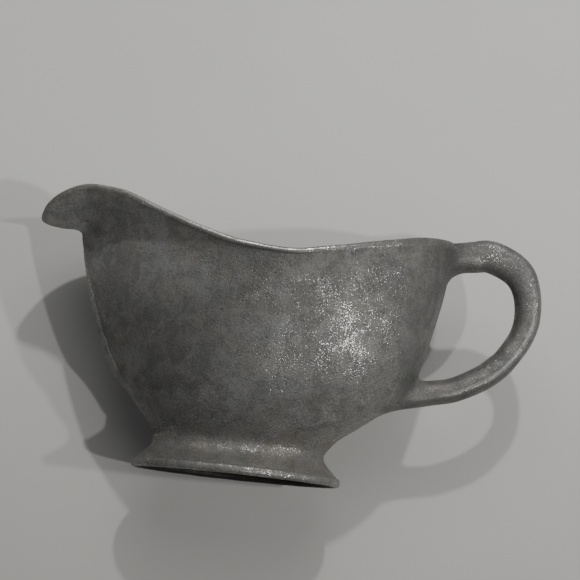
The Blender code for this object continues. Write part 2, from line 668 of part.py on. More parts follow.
def main():
    for thing in list(bpy.data.objects):
        bpy.data.objects.remove(thing, do_unlink=True)

    bowl_metal = pewter("bowl_pewter", (0.135, 0.130, 0.122), 0.52)
    foot_metal = pewter("foot_pewter", (0.150, 0.143, 0.135), 0.50)
    handle_metal = pewter("handle_pewter", (0.140, 0.137, 0.133), 0.46)
    wire_metal = pewter("wire_pewter", (0.190, 0.186, 0.178), 0.40)
    solder_metal = pewter("solder_pewter", (0.120, 0.117, 0.112), 0.55)

    build_half_shell("bowl_shell_near", -1.0, bowl_metal)
    build_half_shell("bowl_shell_far", 1.0, bowl_metal)
    build_rim_wire(wire_metal)
    build_seam("keel_seam", 0.0, KEEL_SEAM_ANGLE, BOWL_BOTTOM + SEAM_END, KEEL_TOP - KEEL_SEAM_DROP,
               SEAM_THICKNESS, solder_metal)
    build_foot(foot_metal)
    build_foot_wire(wire_metal)
    build_foot_joint(solder_metal)
    handle = build_handle(handle_metal)
    upper = build_collar("handle_joint_upper", 0.0, ROOT_SEARCH, solder_metal)
    lower = build_collar("handle_joint_lower", 1.0, 1.0 - ROOT_SEARCH, solder_metal)
    envelope = build_bowl_envelope()
    for piece in (handle, upper, lower):
        subtract(piece, envelope)
    build_seam("back_seam_lower", 180.0, BACK_SEAM_ANGLE, BOWL_BOTTOM + SEAM_END,
               HANDLE_LOW - LOWER_ROOT_DROP, BACK_SEAM_THICKNESS, solder_metal)
    build_seam("back_seam_upper", 180.0, BACK_SEAM_ANGLE, HANDLE_LOW + LOWER_ROOT_RISE,
               RIM_BACK - UPPER_ROOT_DROP, BACK_SEAM_THICKNESS, solder_metal)


main()
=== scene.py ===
# %% [markdown]
# # A cast pewter sauce boat
# This lesson dresses the fixed frame of a footed sauce boat: a cast grey pewter bowl with a pouring lip, a
# loop handle and an oval foot. The frame comes in first, and every finer piece is made around it in the
# same metres, so nothing has to be fitted by eye.

# %% Load the frame
import math

import bmesh
import bpy
import numpy as np
from mathutils import Matrix, Vector, noise
from mathutils.bvhtree import BVHTree


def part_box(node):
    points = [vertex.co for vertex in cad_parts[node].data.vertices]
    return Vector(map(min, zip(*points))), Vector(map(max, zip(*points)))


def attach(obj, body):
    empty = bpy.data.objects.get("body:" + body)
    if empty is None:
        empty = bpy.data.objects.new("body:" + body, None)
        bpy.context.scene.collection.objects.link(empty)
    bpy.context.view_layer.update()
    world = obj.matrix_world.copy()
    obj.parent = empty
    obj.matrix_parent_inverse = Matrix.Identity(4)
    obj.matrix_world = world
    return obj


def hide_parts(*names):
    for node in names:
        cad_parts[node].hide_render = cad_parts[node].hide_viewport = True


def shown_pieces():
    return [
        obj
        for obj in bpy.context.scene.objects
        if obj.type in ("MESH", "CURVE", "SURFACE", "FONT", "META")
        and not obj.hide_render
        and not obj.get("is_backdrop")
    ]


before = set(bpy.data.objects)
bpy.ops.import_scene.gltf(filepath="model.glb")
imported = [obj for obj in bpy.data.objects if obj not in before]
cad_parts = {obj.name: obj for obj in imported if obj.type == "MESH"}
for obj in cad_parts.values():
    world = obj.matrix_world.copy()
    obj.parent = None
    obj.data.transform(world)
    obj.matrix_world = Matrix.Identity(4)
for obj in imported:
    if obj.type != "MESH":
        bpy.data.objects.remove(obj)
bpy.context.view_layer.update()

# %% [markdown]
# ## Sizes
# A caster works from a few sizes: how long the bowl is, how high its rim runs, how far the handle reaches.
# The outer ones are read from the frame's own boxes, and the others repeat the values of the frame's
# source. The curves are lists of (place, value) pairs, which is how a pattern maker's templates are drawn:
# each one has only the points that its outline needs.

# %% Sizes of the boat
rim_low_corner, rim_high_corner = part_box("rim_wire")
foot_low_corner, foot_high_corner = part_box("foot_wire")
shell_low_corner, shell_high_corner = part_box("bowl_shell_far")

LIP_TIP_X = rim_low_corner.x
BACK_X = rim_high_corner.x
LIP_REACH = 0.0190
KEEL_TOP_X = LIP_TIP_X + LIP_REACH
HALF_WIDTH = rim_high_corner.y - 0.0009
WALL = 0.0028
RIM_LOW = 0.0914
RIM_CREST = rim_high_corner.z
KEEL_TOP = RIM_CREST - 0.0185
BOWL_BOTTOM = shell_low_corner.z
FLOOR_TOP = BOWL_BOTTOM + 0.0036
FOOT_X = (foot_low_corner.x + foot_high_corner.x) / 2.0
FOOT_LENGTH = foot_high_corner.x - foot_low_corner.x
FOOT_WIDTH = foot_high_corner.y - foot_low_corner.y
FOOT_HEIGHT = 0.0145
NECK_LENGTH = 0.0735
NECK_WIDTH = 0.0400
NECK_RAKE = 0.0011
FOOT_WALL = 0.0026
FOOT_WIRE_HEIGHT = foot_high_corner.z
FOOT_BEAD_WIDTH = 0.0034
HANDLE_LOW = 0.0420
RIM_BACK = RIM_LOW + 0.875 * (RIM_CREST - RIM_LOW)
HANDLE_SPAN = RIM_BACK + 0.0010 - HANDLE_LOW
HANDLE_REACH = 0.0400
HANDLE_THICKNESS = 0.0108
CREST_PLACE = 0.66
print("length over the rim", round(BACK_X - LIP_TIP_X, 4), "rim crest", round(RIM_CREST, 4))

# %% Templates of the outlines
KEEL_LINE = [(0.0, 0.0), (0.17, 0.282), (0.287, 0.496), (0.472, 0.671), (0.662, 0.806), (0.856, 0.93),
             (1.0, 1.0)]
BACK_LINE = [(0.0, 0.0), (0.03, 0.045), (0.1275, 0.26), (0.224, 0.469), (0.34, 0.665), (0.46, 0.766),
             (0.615, 0.833), (0.916, 0.944), (1.2, 1.0)]
BELLY_LINE = [(0.0, 0.0), (0.05, 0.17), (0.14, 0.46), (0.3, 0.76), (0.5, 0.915), (0.66, 0.958), (0.8, 0.962),
              (1.0, 0.948)]
RIM_LINE = [(0, 0.0, 0.0, 0.56), (8, 0.0152, 0.20, 0.68), (16, 0.0516, 0.369, 0.86), (26, 0.1196, 0.523, 1.0),
            (38, 0.2033, 0.662, 0.90), (50, 0.2962, 0.806, 0.60), (62, 0.394, 0.923, 0.29),
            (76, 0.50, 0.989, 0.06), (90, 0.598, 1.0, 0.0), (106, 0.701, 0.962, 0.145),
            (124, 0.815, 0.825, 0.395), (144, 0.921, 0.585, 0.65), (162, 0.981, 0.309, 0.768),
            (180, 1.0, 0.0, 0.855)]
HANDLE_LINE = [(-0.30, 0.884, 0.0130), (-0.05, 0.887, 0.0130), (0.21, 0.912, 0.0138), (0.42, 0.924, 0.0144),
               (0.70, 0.852, 0.0142), (0.8275, 0.730, 0.0124), (0.855, 0.569, 0.0114),
               (0.80, 0.438, 0.0108), (0.6575, 0.302, 0.0106), (0.55, 0.232, 0.0110),
               (0.38, 0.154, 0.0110), (0.10, 0.071, 0.0106), (-0.288, 0.0405, 0.0108),
               (-0.6465, 0.021, 0.0112), (-1.058, 0.004, 0.0120), (-1.528, -0.014, 0.0125)]


# %% [markdown]
# ## Drawing smooth curves
# A template gives a few points, and the metal runs smoothly between them. A draughtsman bends a spline
# batten through the points; here a cubic does it. The first kind never overshoots its points, so an outline
# can't bulge where the real one doesn't. Both kinds take whole arrays, because the fine surfaces below have
# many thousands of points.

# %% Curve helpers
def mix(start, end, share):
    return start + (end - start) * share


def ease(share):
    share = np.clip(share, 0.0, 1.0)
    return share * share * (3.0 - 2.0 * share)


def between(value, start, full):
    """0 up to one value, 1 from another on, and a smooth rise between them, in either direction."""
    return ease((value - start) / (full - start))


def flow(points, at):
    """Values at places on a smooth curve through (place, value) points, which never overshoots them."""
    places, values = np.array(points, float).T
    steps = np.diff(places)
    slopes = np.diff(values) / steps
    tangents = np.concatenate([slopes[:1], np.zeros(len(slopes) - 1), slopes[-1:]])
    for i in range(1, len(slopes)):
        if slopes[i - 1] * slopes[i] > 0.0:
            before = 2.0 * steps[i] + steps[i - 1]
            after = steps[i] + 2.0 * steps[i - 1]
            tangents[i] = (before + after) / (before / slopes[i - 1] + after / slopes[i])
    at = np.clip(at, places[0], places[-1])
    k = np.clip(np.searchsorted(places, at, side="right") - 1, 0, len(steps) - 1)
    t = (at - places[k]) / steps[k]
    square, cube = t * t, t * t * t
    return ((2 * cube - 3 * square + 1) * values[k] + (cube - 2 * square + t) * steps[k] * tangents[k]
            + (3 * square - 2 * cube) * values[k + 1] + (cube - square) * steps[k] * tangents[k + 1])


def spline(values, at):
    """Catmull-Rom curve through evenly counted values."""
    values = np.array(values, float)
    k = np.clip(np.floor(at).astype(int), 0, len(values) - 2)
    t = at - k
    before = values[np.maximum(k - 1, 0)]
    after = values[np.minimum(k + 2, len(values) - 1)]
    first, second = values[k], values[k + 1]
    return 0.5 * (2.0 * first + (second - before) * t
                  + (2.0 * before - 5.0 * first + 4.0 * second - after) * t * t
                  + (3.0 * first - 3.0 * second + after - before) * t * t * t)


def mirrored(column, sign):
    """A rim template's column with one neighbour repeated across each end, so that it crosses them evenly."""
    points = [(row[0], row[column]) for row in RIM_LINE]
    first = (-points[1][0], sign * points[1][1])
    last = (360.0 - points[-2][0], sign * points[-2][1])
    return [first] + points + [last]


RIM_ALONG = mirrored(1, 1.0)
RIM_ACROSS = mirrored(2, -1.0)
RIM_UP = mirrored(3, 1.0)


# %% [markdown]
# ## The shape of the bowl
# Seen from above, the bowl is an egg with a sharp end at the spout. Seen from the side, its keel and its
# back each follow a template. So a point of the wall is found from a plan angle (0 at the keel, 180 at the
# back) and a height. Near the top, the wall turns out to the rim in a soft hollow, widest beside the spout,
# and that hollow is what draws the dark band under the rim of the real boat.

# %% Bowl surface
def bowl_outline(angle, height, inset):
    """Plan outline of the bowl at a height; inset is inwards from the outside."""
    share = (height - BOWL_BOTTOM) / (KEEL_TOP - BOWL_BOTTOM)
    neck_front = FOOT_X - NECK_LENGTH / 2.0 + NECK_RAKE
    neck_back = FOOT_X + NECK_LENGTH / 2.0 + NECK_RAKE
    front = mix(neck_front, KEEL_TOP_X, flow(KEEL_LINE, share)) + 1.35 * inset
    back = mix(neck_back, BACK_X, flow(BACK_LINE, share)) - inset
    half_width = mix(NECK_WIDTH / 2.0, HALF_WIDTH, flow(BELLY_LINE, share)) - inset
    middle = mix(FOOT_X, mix(KEEL_TOP_X, BACK_X, 0.55), ease(share * 1.6))
    sharpness = mix(1.0, 2.0, ease(share * 4.5))
    turn = np.radians(angle)
    end = np.where(angle < 90.0, middle - front, back - middle)
    power = np.where(angle < 90.0, sharpness, 1.0)
    return middle - end * np.cos(turn), half_width * np.abs(np.sin(turn)) ** power


def rim_line(angle):
    """Top outer edge of the boat at plan angles, as points."""
    x = mix(LIP_TIP_X, BACK_X, flow(RIM_ALONG, angle))
    y = HALF_WIDTH * flow(RIM_ACROSS, angle)
    z = mix(RIM_LOW, RIM_CREST, flow(RIM_UP, angle))
    return np.stack([x, y, z], axis=-1)


def rim_normal(angle):
    """Level directions that point out of the bowl, square to the rim."""
    along = rim_line(angle + 1.0) - rim_line(angle - 1.0)
    normal = np.stack([-along[..., 1], along[..., 0], np.zeros(np.shape(angle))], axis=-1)
    return normal / np.linalg.norm(normal, axis=-1, keepdims=True)


BEAD_HEIGHT = 0.0029
BEAD_SPREAD = 0.0026
LIP_BEAD_HEIGHT = 0.0020
BEAD_PROUD = 0.0007
KEEL_RIM_SHARE = RIM_LINE[0][3]


def bead_height(angle):
    """Thin round the lip, full along the sides and widest where it runs into the handle."""
    full = mix(LIP_BEAD_HEIGHT, BEAD_HEIGHT, between(angle, 18.0, 48.0))
    return full + BEAD_SPREAD * between(angle, 96.0, 146.0)


def bead_proud(angle):
    """The bead stands out along the sides and dies away round the lip and towards the handle."""
    return BEAD_PROUD * between(angle, 14.0, 44.0) * between(angle, 115.0, 70.0)


def shell_top(angle):
    return rim_line(angle)[..., 2] - 0.7 * bead_height(angle)


def flare_height(angle):
    """How far below the shell's top edge the wall starts to turn outwards."""
    at_keel = mix(RIM_LOW, RIM_CREST, KEEL_RIM_SHARE) - 0.0025 - KEEL_TOP
    return flow([(0.0, at_keel), (14.0, at_keel + 0.006), (30.0, 0.0165), (55.0, 0.0150), (90.0, 0.0115),
                 (180.0, 0.0115)], angle)


def wall_points(angle, inset, body_rows, flare_rows):
    """Columns of points up the wall, one for each plan angle, from the bottom to the rim."""
    angle = np.asarray(angle, float)[:, None]
    front = 1.0 - ease(angle / 34.0)
    lift = 0.0030 * front * inset / WALL
    top = shell_top(angle)
    start = top - flare_height(angle) + lift
    bottom = FLOOR_TOP if inset > 0.0 else BOWL_BOTTOM
    share = (np.arange(body_rows) / body_rows)[None, :]
    height = mix(bottom, start, share ** 1.25)
    rounding = (0.006 if inset > 0.0 else 0.0) * (1.0 - np.sin(np.minimum(share / 0.3, 1.0) * math.pi / 2.0))
    thicker = inset * (1.0 + 0.45 * (1.0 - share))
    x, y = bowl_outline(angle, height, thicker + rounding if inset > 0.0 else inset)
    body = np.stack([x, y, height + 0.0 * x], axis=-1)

    rise = (np.arange(flare_rows + 1) / flare_rows)[None, :]
    low_part = 0.50 * (1.0 - (1.0 - np.minimum(rise / 0.34, 1.0)) ** 2)
    high_part = 0.50 * np.maximum((rise - 0.42) / 0.58, 0.0) ** 2
    z = mix(start, top, mix(rise, low_part + high_part, front))
    x, y = bowl_outline(angle, z, inset)
    edge_x, edge_y = bowl_outline(angle, top, inset)
    edge = rim_line(angle) - inset * rim_normal(angle)
    out = mix(rise ** 2.8, ease(rise), front)
    flare = np.stack([x + (edge[..., 0] - edge_x) * out, y + (edge[..., 1] - edge_y) * out, z], axis=-1)
    return np.concatenate([body, flare], axis=1)


sample = wall_points([0.0, 90.0, 180.0], 0.0, 8, 8)
print("wall at the keel, the side and the back reaches", sample[:, -1].round(4).tolist())

# %% [markdown]
# ## Turning points into metal
# Every piece is a skin of four-sided faces over a grid of points, made in mesh code, because a casting has
# no straight edges that a primitive could give. A casting is never perfectly even either: hand filing and
# the sand of the mould leave slow waves of about a tenth of a millimetre. One noise, read at each point's
# own place, gives those waves, so pieces that meet still meet.

# %% Mesh helpers
def waver(points, normals, size, depth):
    """Push points in and out along their normals in slow waves, as a hand-finished casting has."""
    moved = np.array(points, float)
    for i, (point, normal) in enumerate(zip(points, normals)):
        wave = noise.noise(Vector(point) / size) + 0.5 * noise.noise(Vector(point) / (size * 0.45))
        moved[i] += normal * wave * depth
    return moved


def make_piece(name, build, node_names, uneven=0.00012, wave_size=0.011):
    """Build a closed skin, give it its slow waves, smooth its shading and set it on the frame."""
    mesh = bpy.data.meshes.new(name)
    work = bmesh.new()
    build(work)
    bmesh.ops.remove_doubles(work, verts=work.verts, dist=1e-6)
    bmesh.ops.recalc_face_normals(work, faces=work.faces)
    work.to_mesh(mesh)
    work.free()
    if uneven > 0.0:
        count = len(mesh.vertices)
        points, normals = np.zeros(count * 3), np.zeros(count * 3)
        mesh.vertices.foreach_get("co", points)
        mesh.vertices.foreach_get("normal", normals)
        moved = waver(points.reshape(-1, 3), normals.reshape(-1, 3), wave_size, uneven)
        mesh.vertices.foreach_set("co", moved.ravel())
    mesh.shade_smooth()
    mesh.set_sharp_from_angle(angle=math.radians(50.0))
    piece = bpy.data.objects.new(name, mesh)
    bpy.context.scene.collection.objects.link(piece)
    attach(piece, "root")
    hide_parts(*node_names)
    print(name, len(mesh.vertices), "points,", len(mesh.polygons), "faces")
    return piece


def skin_grid(work, points, close_rows=False, close_columns=False):
    """Skin a grid of points: rows by columns, each direction open or closed. Returns the vertices."""
    grid = [[work.verts.new(point) for point in row] for row in points]
    rows, columns = len(grid), len(grid[0])
    for i in range(rows if close_rows else rows - 1):
        upper, lower = grid[i], grid[(i + 1) % rows]
        for j in range(columns if close_columns else columns - 1):
            k = (j + 1) % columns
            work.faces.new((upper[j], upper[k], lower[k], lower[j]))
    return grid


def fill_between(work, first, second):
    """Skin the strip between two rows of vertices."""
    for i in range(len(first) - 1):
        work.faces.new((first[i], first[i + 1], second[i + 1], second[i]))


def paint(piece, name, amounts):
    """Keep one number from 0 to 1 on each point of a piece, for its finish to read."""
    layer = piece.data.attributes.new(name, "FLOAT", "POINT")
    layer.data.foreach_set("value", np.asarray(amounts, np.float32))


def points_of(piece):
    co = np.zeros(len(piece.data.vertices) * 3)
    piece.data.vertices.foreach_get("co", co)
    return co.reshape(-1, 3)


# %% [markdown]
# ## The two halves of the bowl
# A pouring lip with a sharp keel can't be drawn from a one-piece mould, so the bowl is cast as two half
# shells and soldered along the keel and the back. Each half is one grid outside, one grid inside and a
# strip along every edge. The far half is the near half's mirror image. The outer grid is fine enough, under
# a millimetre, that its facets never show.

# %% Bowl halves
PLAN_STEPS = 150
BODY_ROWS = 70
FLARE_ROWS = 26
plan_angles = 180.0 * (np.arange(PLAN_STEPS + 1) / PLAN_STEPS) ** 1.25
outer_wall = wall_points(plan_angles, 0.0, BODY_ROWS, FLARE_ROWS)
inner_wall = wall_points(plan_angles, WALL, BODY_ROWS, FLARE_ROWS)


def half_shell(side):
    flip = np.array([1.0, side, 1.0])

    def build(work):
        outer = skin_grid(work, outer_wall * flip)
        inner = skin_grid(work, inner_wall * flip)
        fill_between(work, [column[-1] for column in outer], [column[-1] for column in inner])
        fill_between(work, outer[0], inner[0])
        fill_between(work, outer[-1], inner[-1])
        for skin in (outer, inner):
            bottom = [column[0] for column in skin]
            for i in range(len(bottom) // 2):
                corners = [bottom[i], bottom[i + 1], bottom[-2 - i], bottom[-1 - i]]
                if len(set(corners)) == 4:
                    work.faces.new(corners)
        work.faces.new((outer[0][0], outer[-1][0], inner[-1][0], inner[0][0]))

    return build


bowl_near = make_piece("bowl_half_near", half_shell(-1.0), ["bowl_shell_near"])
bowl_far = make_piece("bowl_half_far", half_shell(1.0), ["bowl_shell_far"])

# %% [markdown]
# ## The rim bead
# The rim of the cast bowl is finished with a rounded bead that a hand slides along without catching. It is
# full along the sides, drawn down thin round the lip, and dies away where the handle takes over. It is
# swept as a squared-off oval along the rim line, closed on itself.

# %% Rim bead
BEAD_POINTS = 28


def rounded(value, power):
    """A cosine or sine raised to a power with its sign kept, which squares up a round section."""
    return np.sign(value) * np.abs(value) ** power


def bead_section(angle, side):
    edge = rim_line(angle)
    normal = rim_normal(angle)
    tall = bead_height(angle)
    proud = bead_proud(angle)
    wide = WALL + proud
    turn = 2.0 * math.pi * (np.arange(BEAD_POINTS) + 0.5) / BEAD_POINTS
    across = wide / 2.0 * rounded(np.cos(turn), 0.80)
    up = tall / 2.0 * rounded(np.sin(turn), 0.90)
    centre = edge + normal * (proud - wide / 2.0) - np.array([0.0, 0.0, tall / 2.0])
    points = centre[None, :] + across[:, None] * normal[None, :] + up[:, None] * np.array([0.0, 0.0, 1.0])
    return points * np.array([1.0, side, 1.0])


def rim_bead(work):
    near = [bead_section(angle, -1.0) for angle in plan_angles]
    far = [bead_section(angle, 1.0) for angle in plan_angles[-2:0:-1]]
    skin_grid(work, near + far, close_rows=True, close_columns=True)


rim = make_piece("rim_bead", rim_bead, ["rim_wire"], uneven=0.00010, wave_size=0.007)

# %% [markdown]
# ## The solder seams
# Where the halves meet, solder stands proud in a rough ridge. It is thick and unfiled down the keel, where
# a file would blunt the line of the bow, and dressed nearly flush down the back. A seam is a strip that
# follows the wall's own outline, a little further out, with a lumpy surface from two sizes of noise.

# %% Solder seams
SEAM_STEPS = 7


def seam(centre_angle, low_half_angle, high_half_angle, low, high, thickness, rows, lumps):
    turns = np.linspace(-1.0, 1.0, SEAM_STEPS * 2 + 1)
    heights = np.linspace(low, high, rows)

    def layer(height, offset):
        points = []
        fade = float(ease((high - height) / 0.030 + 0.15))
        for turn in turns:
            ragged = 1.0 + lumps * noise.noise(Vector((math.copysign(2.0, turn), height * 300.0, 5.0)))
            half_angle = mix(low_half_angle, high_half_angle, ease((height - low) / (high - low)))
            angle = abs(centre_angle - abs(turn) * half_angle * ragged)
            crown = offset * fade * (1.0 - 0.8 * abs(turn) ** 3) if offset > 0.0 else offset
            x, y = bowl_outline(angle, height, -crown)
            points.append((float(x), math.copysign(float(y), turn) if turn else 0.0, height))
        return points

    def build(work):
        rings = [layer(height, -0.0006) + layer(height, thickness)[::-1] for height in heights]
        grid = skin_grid(work, rings, close_columns=True)
        work.faces.new(grid[0])
        work.faces.new(grid[-1])

    return build


keel_seam = make_piece(
    "keel_solder", seam(0.0, 20.0, 7.0, BOWL_BOTTOM + 0.0010, KEEL_TOP - 0.0060, 0.0006, 240, 0.22),
    ["keel_seam"], uneven=0.00016, wave_size=0.0018)
back_low = make_piece(
    "back_solder_lower", seam(180.0, 2.4, 2.4, BOWL_BOTTOM + 0.0012, HANDLE_LOW - 0.0110, 0.00018, 50, 0.2),
    ["back_seam_lower"], uneven=0.00008, wave_size=0.003)
back_high = make_piece(
    "back_solder_upper", seam(180.0, 2.4, 2.4, HANDLE_LOW + 0.0160, RIM_BACK - 0.0220, 0.00018, 60, 0.2),
    ["back_seam_upper"], uneven=0.00008, wave_size=0.003)

# %% [markdown]
# ## The foot
# The boat stands on an oval pedestal, hollow underneath, that spreads to a rounded bead. Each level of it
# is an ellipse about the foot's middle, so the pedestal is a stack of ellipses that widen quickly near the
# ground. The solder between foot and bowl is run in and smoothed, so it reads as one soft waist.

# %% Foot, foot bead and waist
RING_STEPS = 220
turns_of_ring = 2.0 * math.pi * np.arange(RING_STEPS) / RING_STEPS


def oval(length, width, height):
    return np.stack([FOOT_X + length / 2.0 * np.cos(turns_of_ring),
                     width / 2.0 * np.sin(turns_of_ring),
                     np.full(RING_STEPS, height)], axis=-1)


def foot_ring(height, inset=0.0):
    """Level ring of the pedestal: upright at its narrow neck and again where it runs into the bead."""
    low, high = FOOT_WIRE_HEIGHT * 0.5, FOOT_HEIGHT - 0.0020
    share = min(max((height - low) / (high - low), 0.0), 1.0)
    spread = (1.0 + math.cos(math.pi * share ** 0.8)) / 2.0
    length = mix(NECK_LENGTH, FOOT_LENGTH - 0.0006, spread)
    width = mix(NECK_WIDTH, FOOT_WIDTH - 0.0006, spread)
    return oval(length - 2.0 * inset, width - 2.0 * inset, height)


def foot_shell(work):
    rows = 40
    levels = [mix(FOOT_WIRE_HEIGHT * 0.4, FOOT_HEIGHT, row / rows) for row in range(rows + 1)]
    outside = [foot_ring(level) for level in levels]
    inside = [foot_ring(level, FOOT_WALL) for level in levels[::-1]]
    skin_grid(work, outside + inside, close_rows=True, close_columns=True)


def foot_bead(work):
    points = 26
    rings = []
    for k in range(points):
        turn = 2.0 * math.pi * k / points
        across = FOOT_BEAD_WIDTH / 2.0 * rounded(math.cos(turn), 0.9)
        up = FOOT_WIRE_HEIGHT / 2.0 * (1.0 + rounded(math.sin(turn), 0.8))
        wider = 2.0 * across - FOOT_BEAD_WIDTH
        rings.append(oval(FOOT_LENGTH + wider, FOOT_WIDTH + wider, up))
    skin_grid(work, rings, close_rows=True, close_columns=True)


def waist(work):
    """A wide soft fillet between foot and bowl, drawn in to almost nothing at the keel."""
    rows = 20
    around = np.degrees(np.arctan2(np.sin(turns_of_ring), -np.cos(turns_of_ring)))
    angle = np.abs(around)
    side = np.where(around < 0.0, -1.0, 1.0)
    reach = mix(0.0006, 0.0048, between(angle, 8.0, 58.0))

    def on_bowl(height):
        x, y = bowl_outline(angle, height, 0.0)
        return np.stack([x, side * y, height + 0.0 * x], axis=-1)

    corner = on_bowl(np.full(RING_STEPS, BOWL_BOTTOM))
    low = np.array([foot_ring(FOOT_HEIGHT - min(0.85 * reach[i], 0.0019))[i] for i in range(RING_STEPS)])
    high = on_bowl(BOWL_BOTTOM + reach)
    out = corner[:, :2] - corner[:, :2].mean(axis=0)
    out /= np.linalg.norm(out, axis=1, keepdims=True)
    outside = []
    for row in range(rows + 1):
        t = row / rows
        ring = low * (1 - t) ** 2 + corner * 2 * t * (1 - t) + high * t * t
        ring[:, :2] += out * (0.00006 * math.sin(math.pi * t) - 0.00008)
        outside.append(ring)
    inside = [ring.copy() for ring in (outside[-1], outside[0])]
    for ring in inside:
        ring[:, :2] -= out * 0.0012
    skin_grid(work, outside + inside, close_rows=True, close_columns=True)


foot = make_piece("foot_shell", foot_shell, ["foot"])
foot_edge = make_piece("foot_bead", foot_bead, ["foot_wire"], uneven=0.00012, wave_size=0.008)
foot_joint = make_piece("foot_waist", waist, ["foot_joint"], uneven=0.00008, wave_size=0.004)

# %% [markdown]
# ## The loop handle
# The handle is cast solid, with a section like a rounded kite: a crest runs along each side face, nearer
# the outside of the loop, and catches the light as one thin bright line. The section is swept along the
# middle line, turned to stay square to it. Both ends run a little way into the bowl's wall.

# %% Handle
SECTION_POINTS = 44
HANDLE_STEPS = 220
handle_distances = []
lower_overhang = BACK_X - float(bowl_outline(180.0, HANDLE_LOW, 0.0)[0])
for along, up, _ in HANDLE_LINE:
    handle_distances.append(along * (lower_overhang if along < 0.0 and up < 0.5 else HANDLE_REACH))


def handle_place(share):
    """Middle line of the handle and its section's width, from the upper root (0) to the lower (1)."""
    at = np.asarray(share, float) * (len(HANDLE_LINE) - 1)
    x = BACK_X + spline(handle_distances, at)
    z = HANDLE_LOW + HANDLE_SPAN * spline([row[1] for row in HANDLE_LINE], at)
    return np.array([float(x), 0.0, float(z)]), float(spline([row[2] for row in HANDLE_LINE], at))


def handle_frame(share):
    step = 0.004
    run = handle_place(min(share + step, 1.0))[0] - handle_place(max(share - step, 0.0))[0]
    along = run / np.linalg.norm(run)
    middle, width = handle_place(share)
    return middle, np.array([-along[2], 0.0, along[0]]), width


def crest_sharpness(share):
    """The crest is crisp round the loop and softens to nothing at both roots."""
    return float(between(share, 0.16, 0.36) * between(share, 0.97, 0.77))


def handle_section(share):
    middle, outward, width = handle_frame(share)
    near_root = max(0.0, 1.0 - share / 0.25, (share - 0.80) / 0.20)
    half_thick = HANDLE_THICKNESS / 2.0 * (1.0 + 0.30 * near_root ** 2)
    inner, outer = width * CREST_PLACE, width * (1.0 - CREST_PLACE)
    crest = middle + outward * width * (CREST_PLACE - 0.5)
    crisp = crest_sharpness(share)
    turn = 2.0 * math.pi * np.arange(SECTION_POINTS) / SECTION_POINTS
    reach = np.where(np.cos(turn) > 0.0, outer, inner)
    across = reach * rounded(np.cos(turn), mix(0.85, 0.80, crisp))
    side = half_thick * rounded(np.sin(turn), mix(0.85, 1.12, crisp))
    points = crest[None, :] + outward[None, :] * across[:, None]
    points[:, 1] = side
    return points


def wall_solid(inset, rise):
    """A closed guide with the bowl's outline, some way inside its wall, carried up past the rim."""
    columns = wall_points(plan_angles[::3], inset, 24, 12)
    edges = rim_line(plan_angles[::3]) - inset * rim_normal(plan_angles[::3])
    tops = edges.copy()
    tops[:, 2] = RIM_CREST + rise
    columns = np.concatenate([columns, tops[:, None, :]], axis=1)
    mesh = bpy.data.meshes.new("guide")
    work = bmesh.new()
    near = columns * np.array([1.0, -1.0, 1.0])
    ring = np.concatenate([near, columns[-2:0:-1]], axis=0)
    grid = skin_grid(work, ring, close_rows=True)
    work.faces.new([column[0] for column in grid])
    work.faces.new([column[-1] for column in grid])
    bmesh.ops.recalc_face_normals(work, faces=work.faces)
    work.to_mesh(mesh)
    work.free()
    guide = bpy.data.objects.new("guide", mesh)
    bpy.context.scene.collection.objects.link(guide)
    return guide


def cut_away(piece, guide):
    """Cut a guide's volume out of a piece for good."""
    cut = piece.modifiers.new("trim", "BOOLEAN")
    cut.operation = "DIFFERENCE"
    cut.solver = "EXACT"
    cut.object = guide
    depsgraph = bpy.context.evaluated_depsgraph_get()
    trimmed = bpy.data.meshes.new_from_object(piece.evaluated_get(depsgraph))
    piece.modifiers.clear()
    piece.data = trimmed


def handle_loop(work):
    shares = np.linspace(0.0, 1.0, HANDLE_STEPS + 1)
    grid = skin_grid(work, [handle_section(share) for share in shares], close_columns=True)
    work.faces.new(grid[0])
    work.faces.new(grid[-1])


handle = make_piece("handle_loop", handle_loop, ["handle"], uneven=0.00006, wave_size=0.012)
guide = wall_solid(0.6 * WALL, 0.02)
cut_away(handle, guide)
bpy.data.objects.remove(guide)
print("handle after trimming", len(handle.data.vertices), "points")

# %% [markdown]
# ## Where the handle meets the bowl
# The founder runs solder round each root and files it to a smooth hollow, so no line shows. That hollow is
# built as a fan of short curves: each starts on the handle, bends over the corner where the handle's side
# would enter the bowl, and lands on the bowl. It reaches further inside the loop, where a finger presses,
# than outside it.

# %% Fillets at the roots
def outside_tree():
    """The bowl's outside and the rim's outer face, for finding where a line enters the bowl."""
    angles = plan_angles
    columns = wall_points(angles, 0.0, 40, 16)
    edge = rim_line(angles) + rim_normal(angles) * bead_proud(angles)[:, None]
    above = edge.copy()
    above[:, 2] += 0.006
    columns = np.concatenate([columns, edge[:, None, :], above[:, None, :]], axis=1)
    ring = np.concatenate([columns * np.array([1.0, -1.0, 1.0]), columns[-2:0:-1]], axis=0)
    count, rows = ring.shape[:2]
    corners = ring.reshape(-1, 3)
    faces = []
    for i in range(count):
        for j in range(rows - 1):
            k = (i + 1) % count
            faces.append((i * rows + j, k * rows + j, k * rows + j + 1, i * rows + j + 1))
    return BVHTree.FromPolygons([Vector(c) for c in corners], faces)


bowl_tree = outside_tree()
back_rim = rim_line(np.linspace(110.0, 180.0, 141))
bowl_heart = Vector((0.0, 0.0, 0.06))


def outwards(normal, point):
    """The same normal, turned to point away from the middle of the bowl."""
    return normal if normal.dot(point - bowl_heart) > 0.0 else -normal


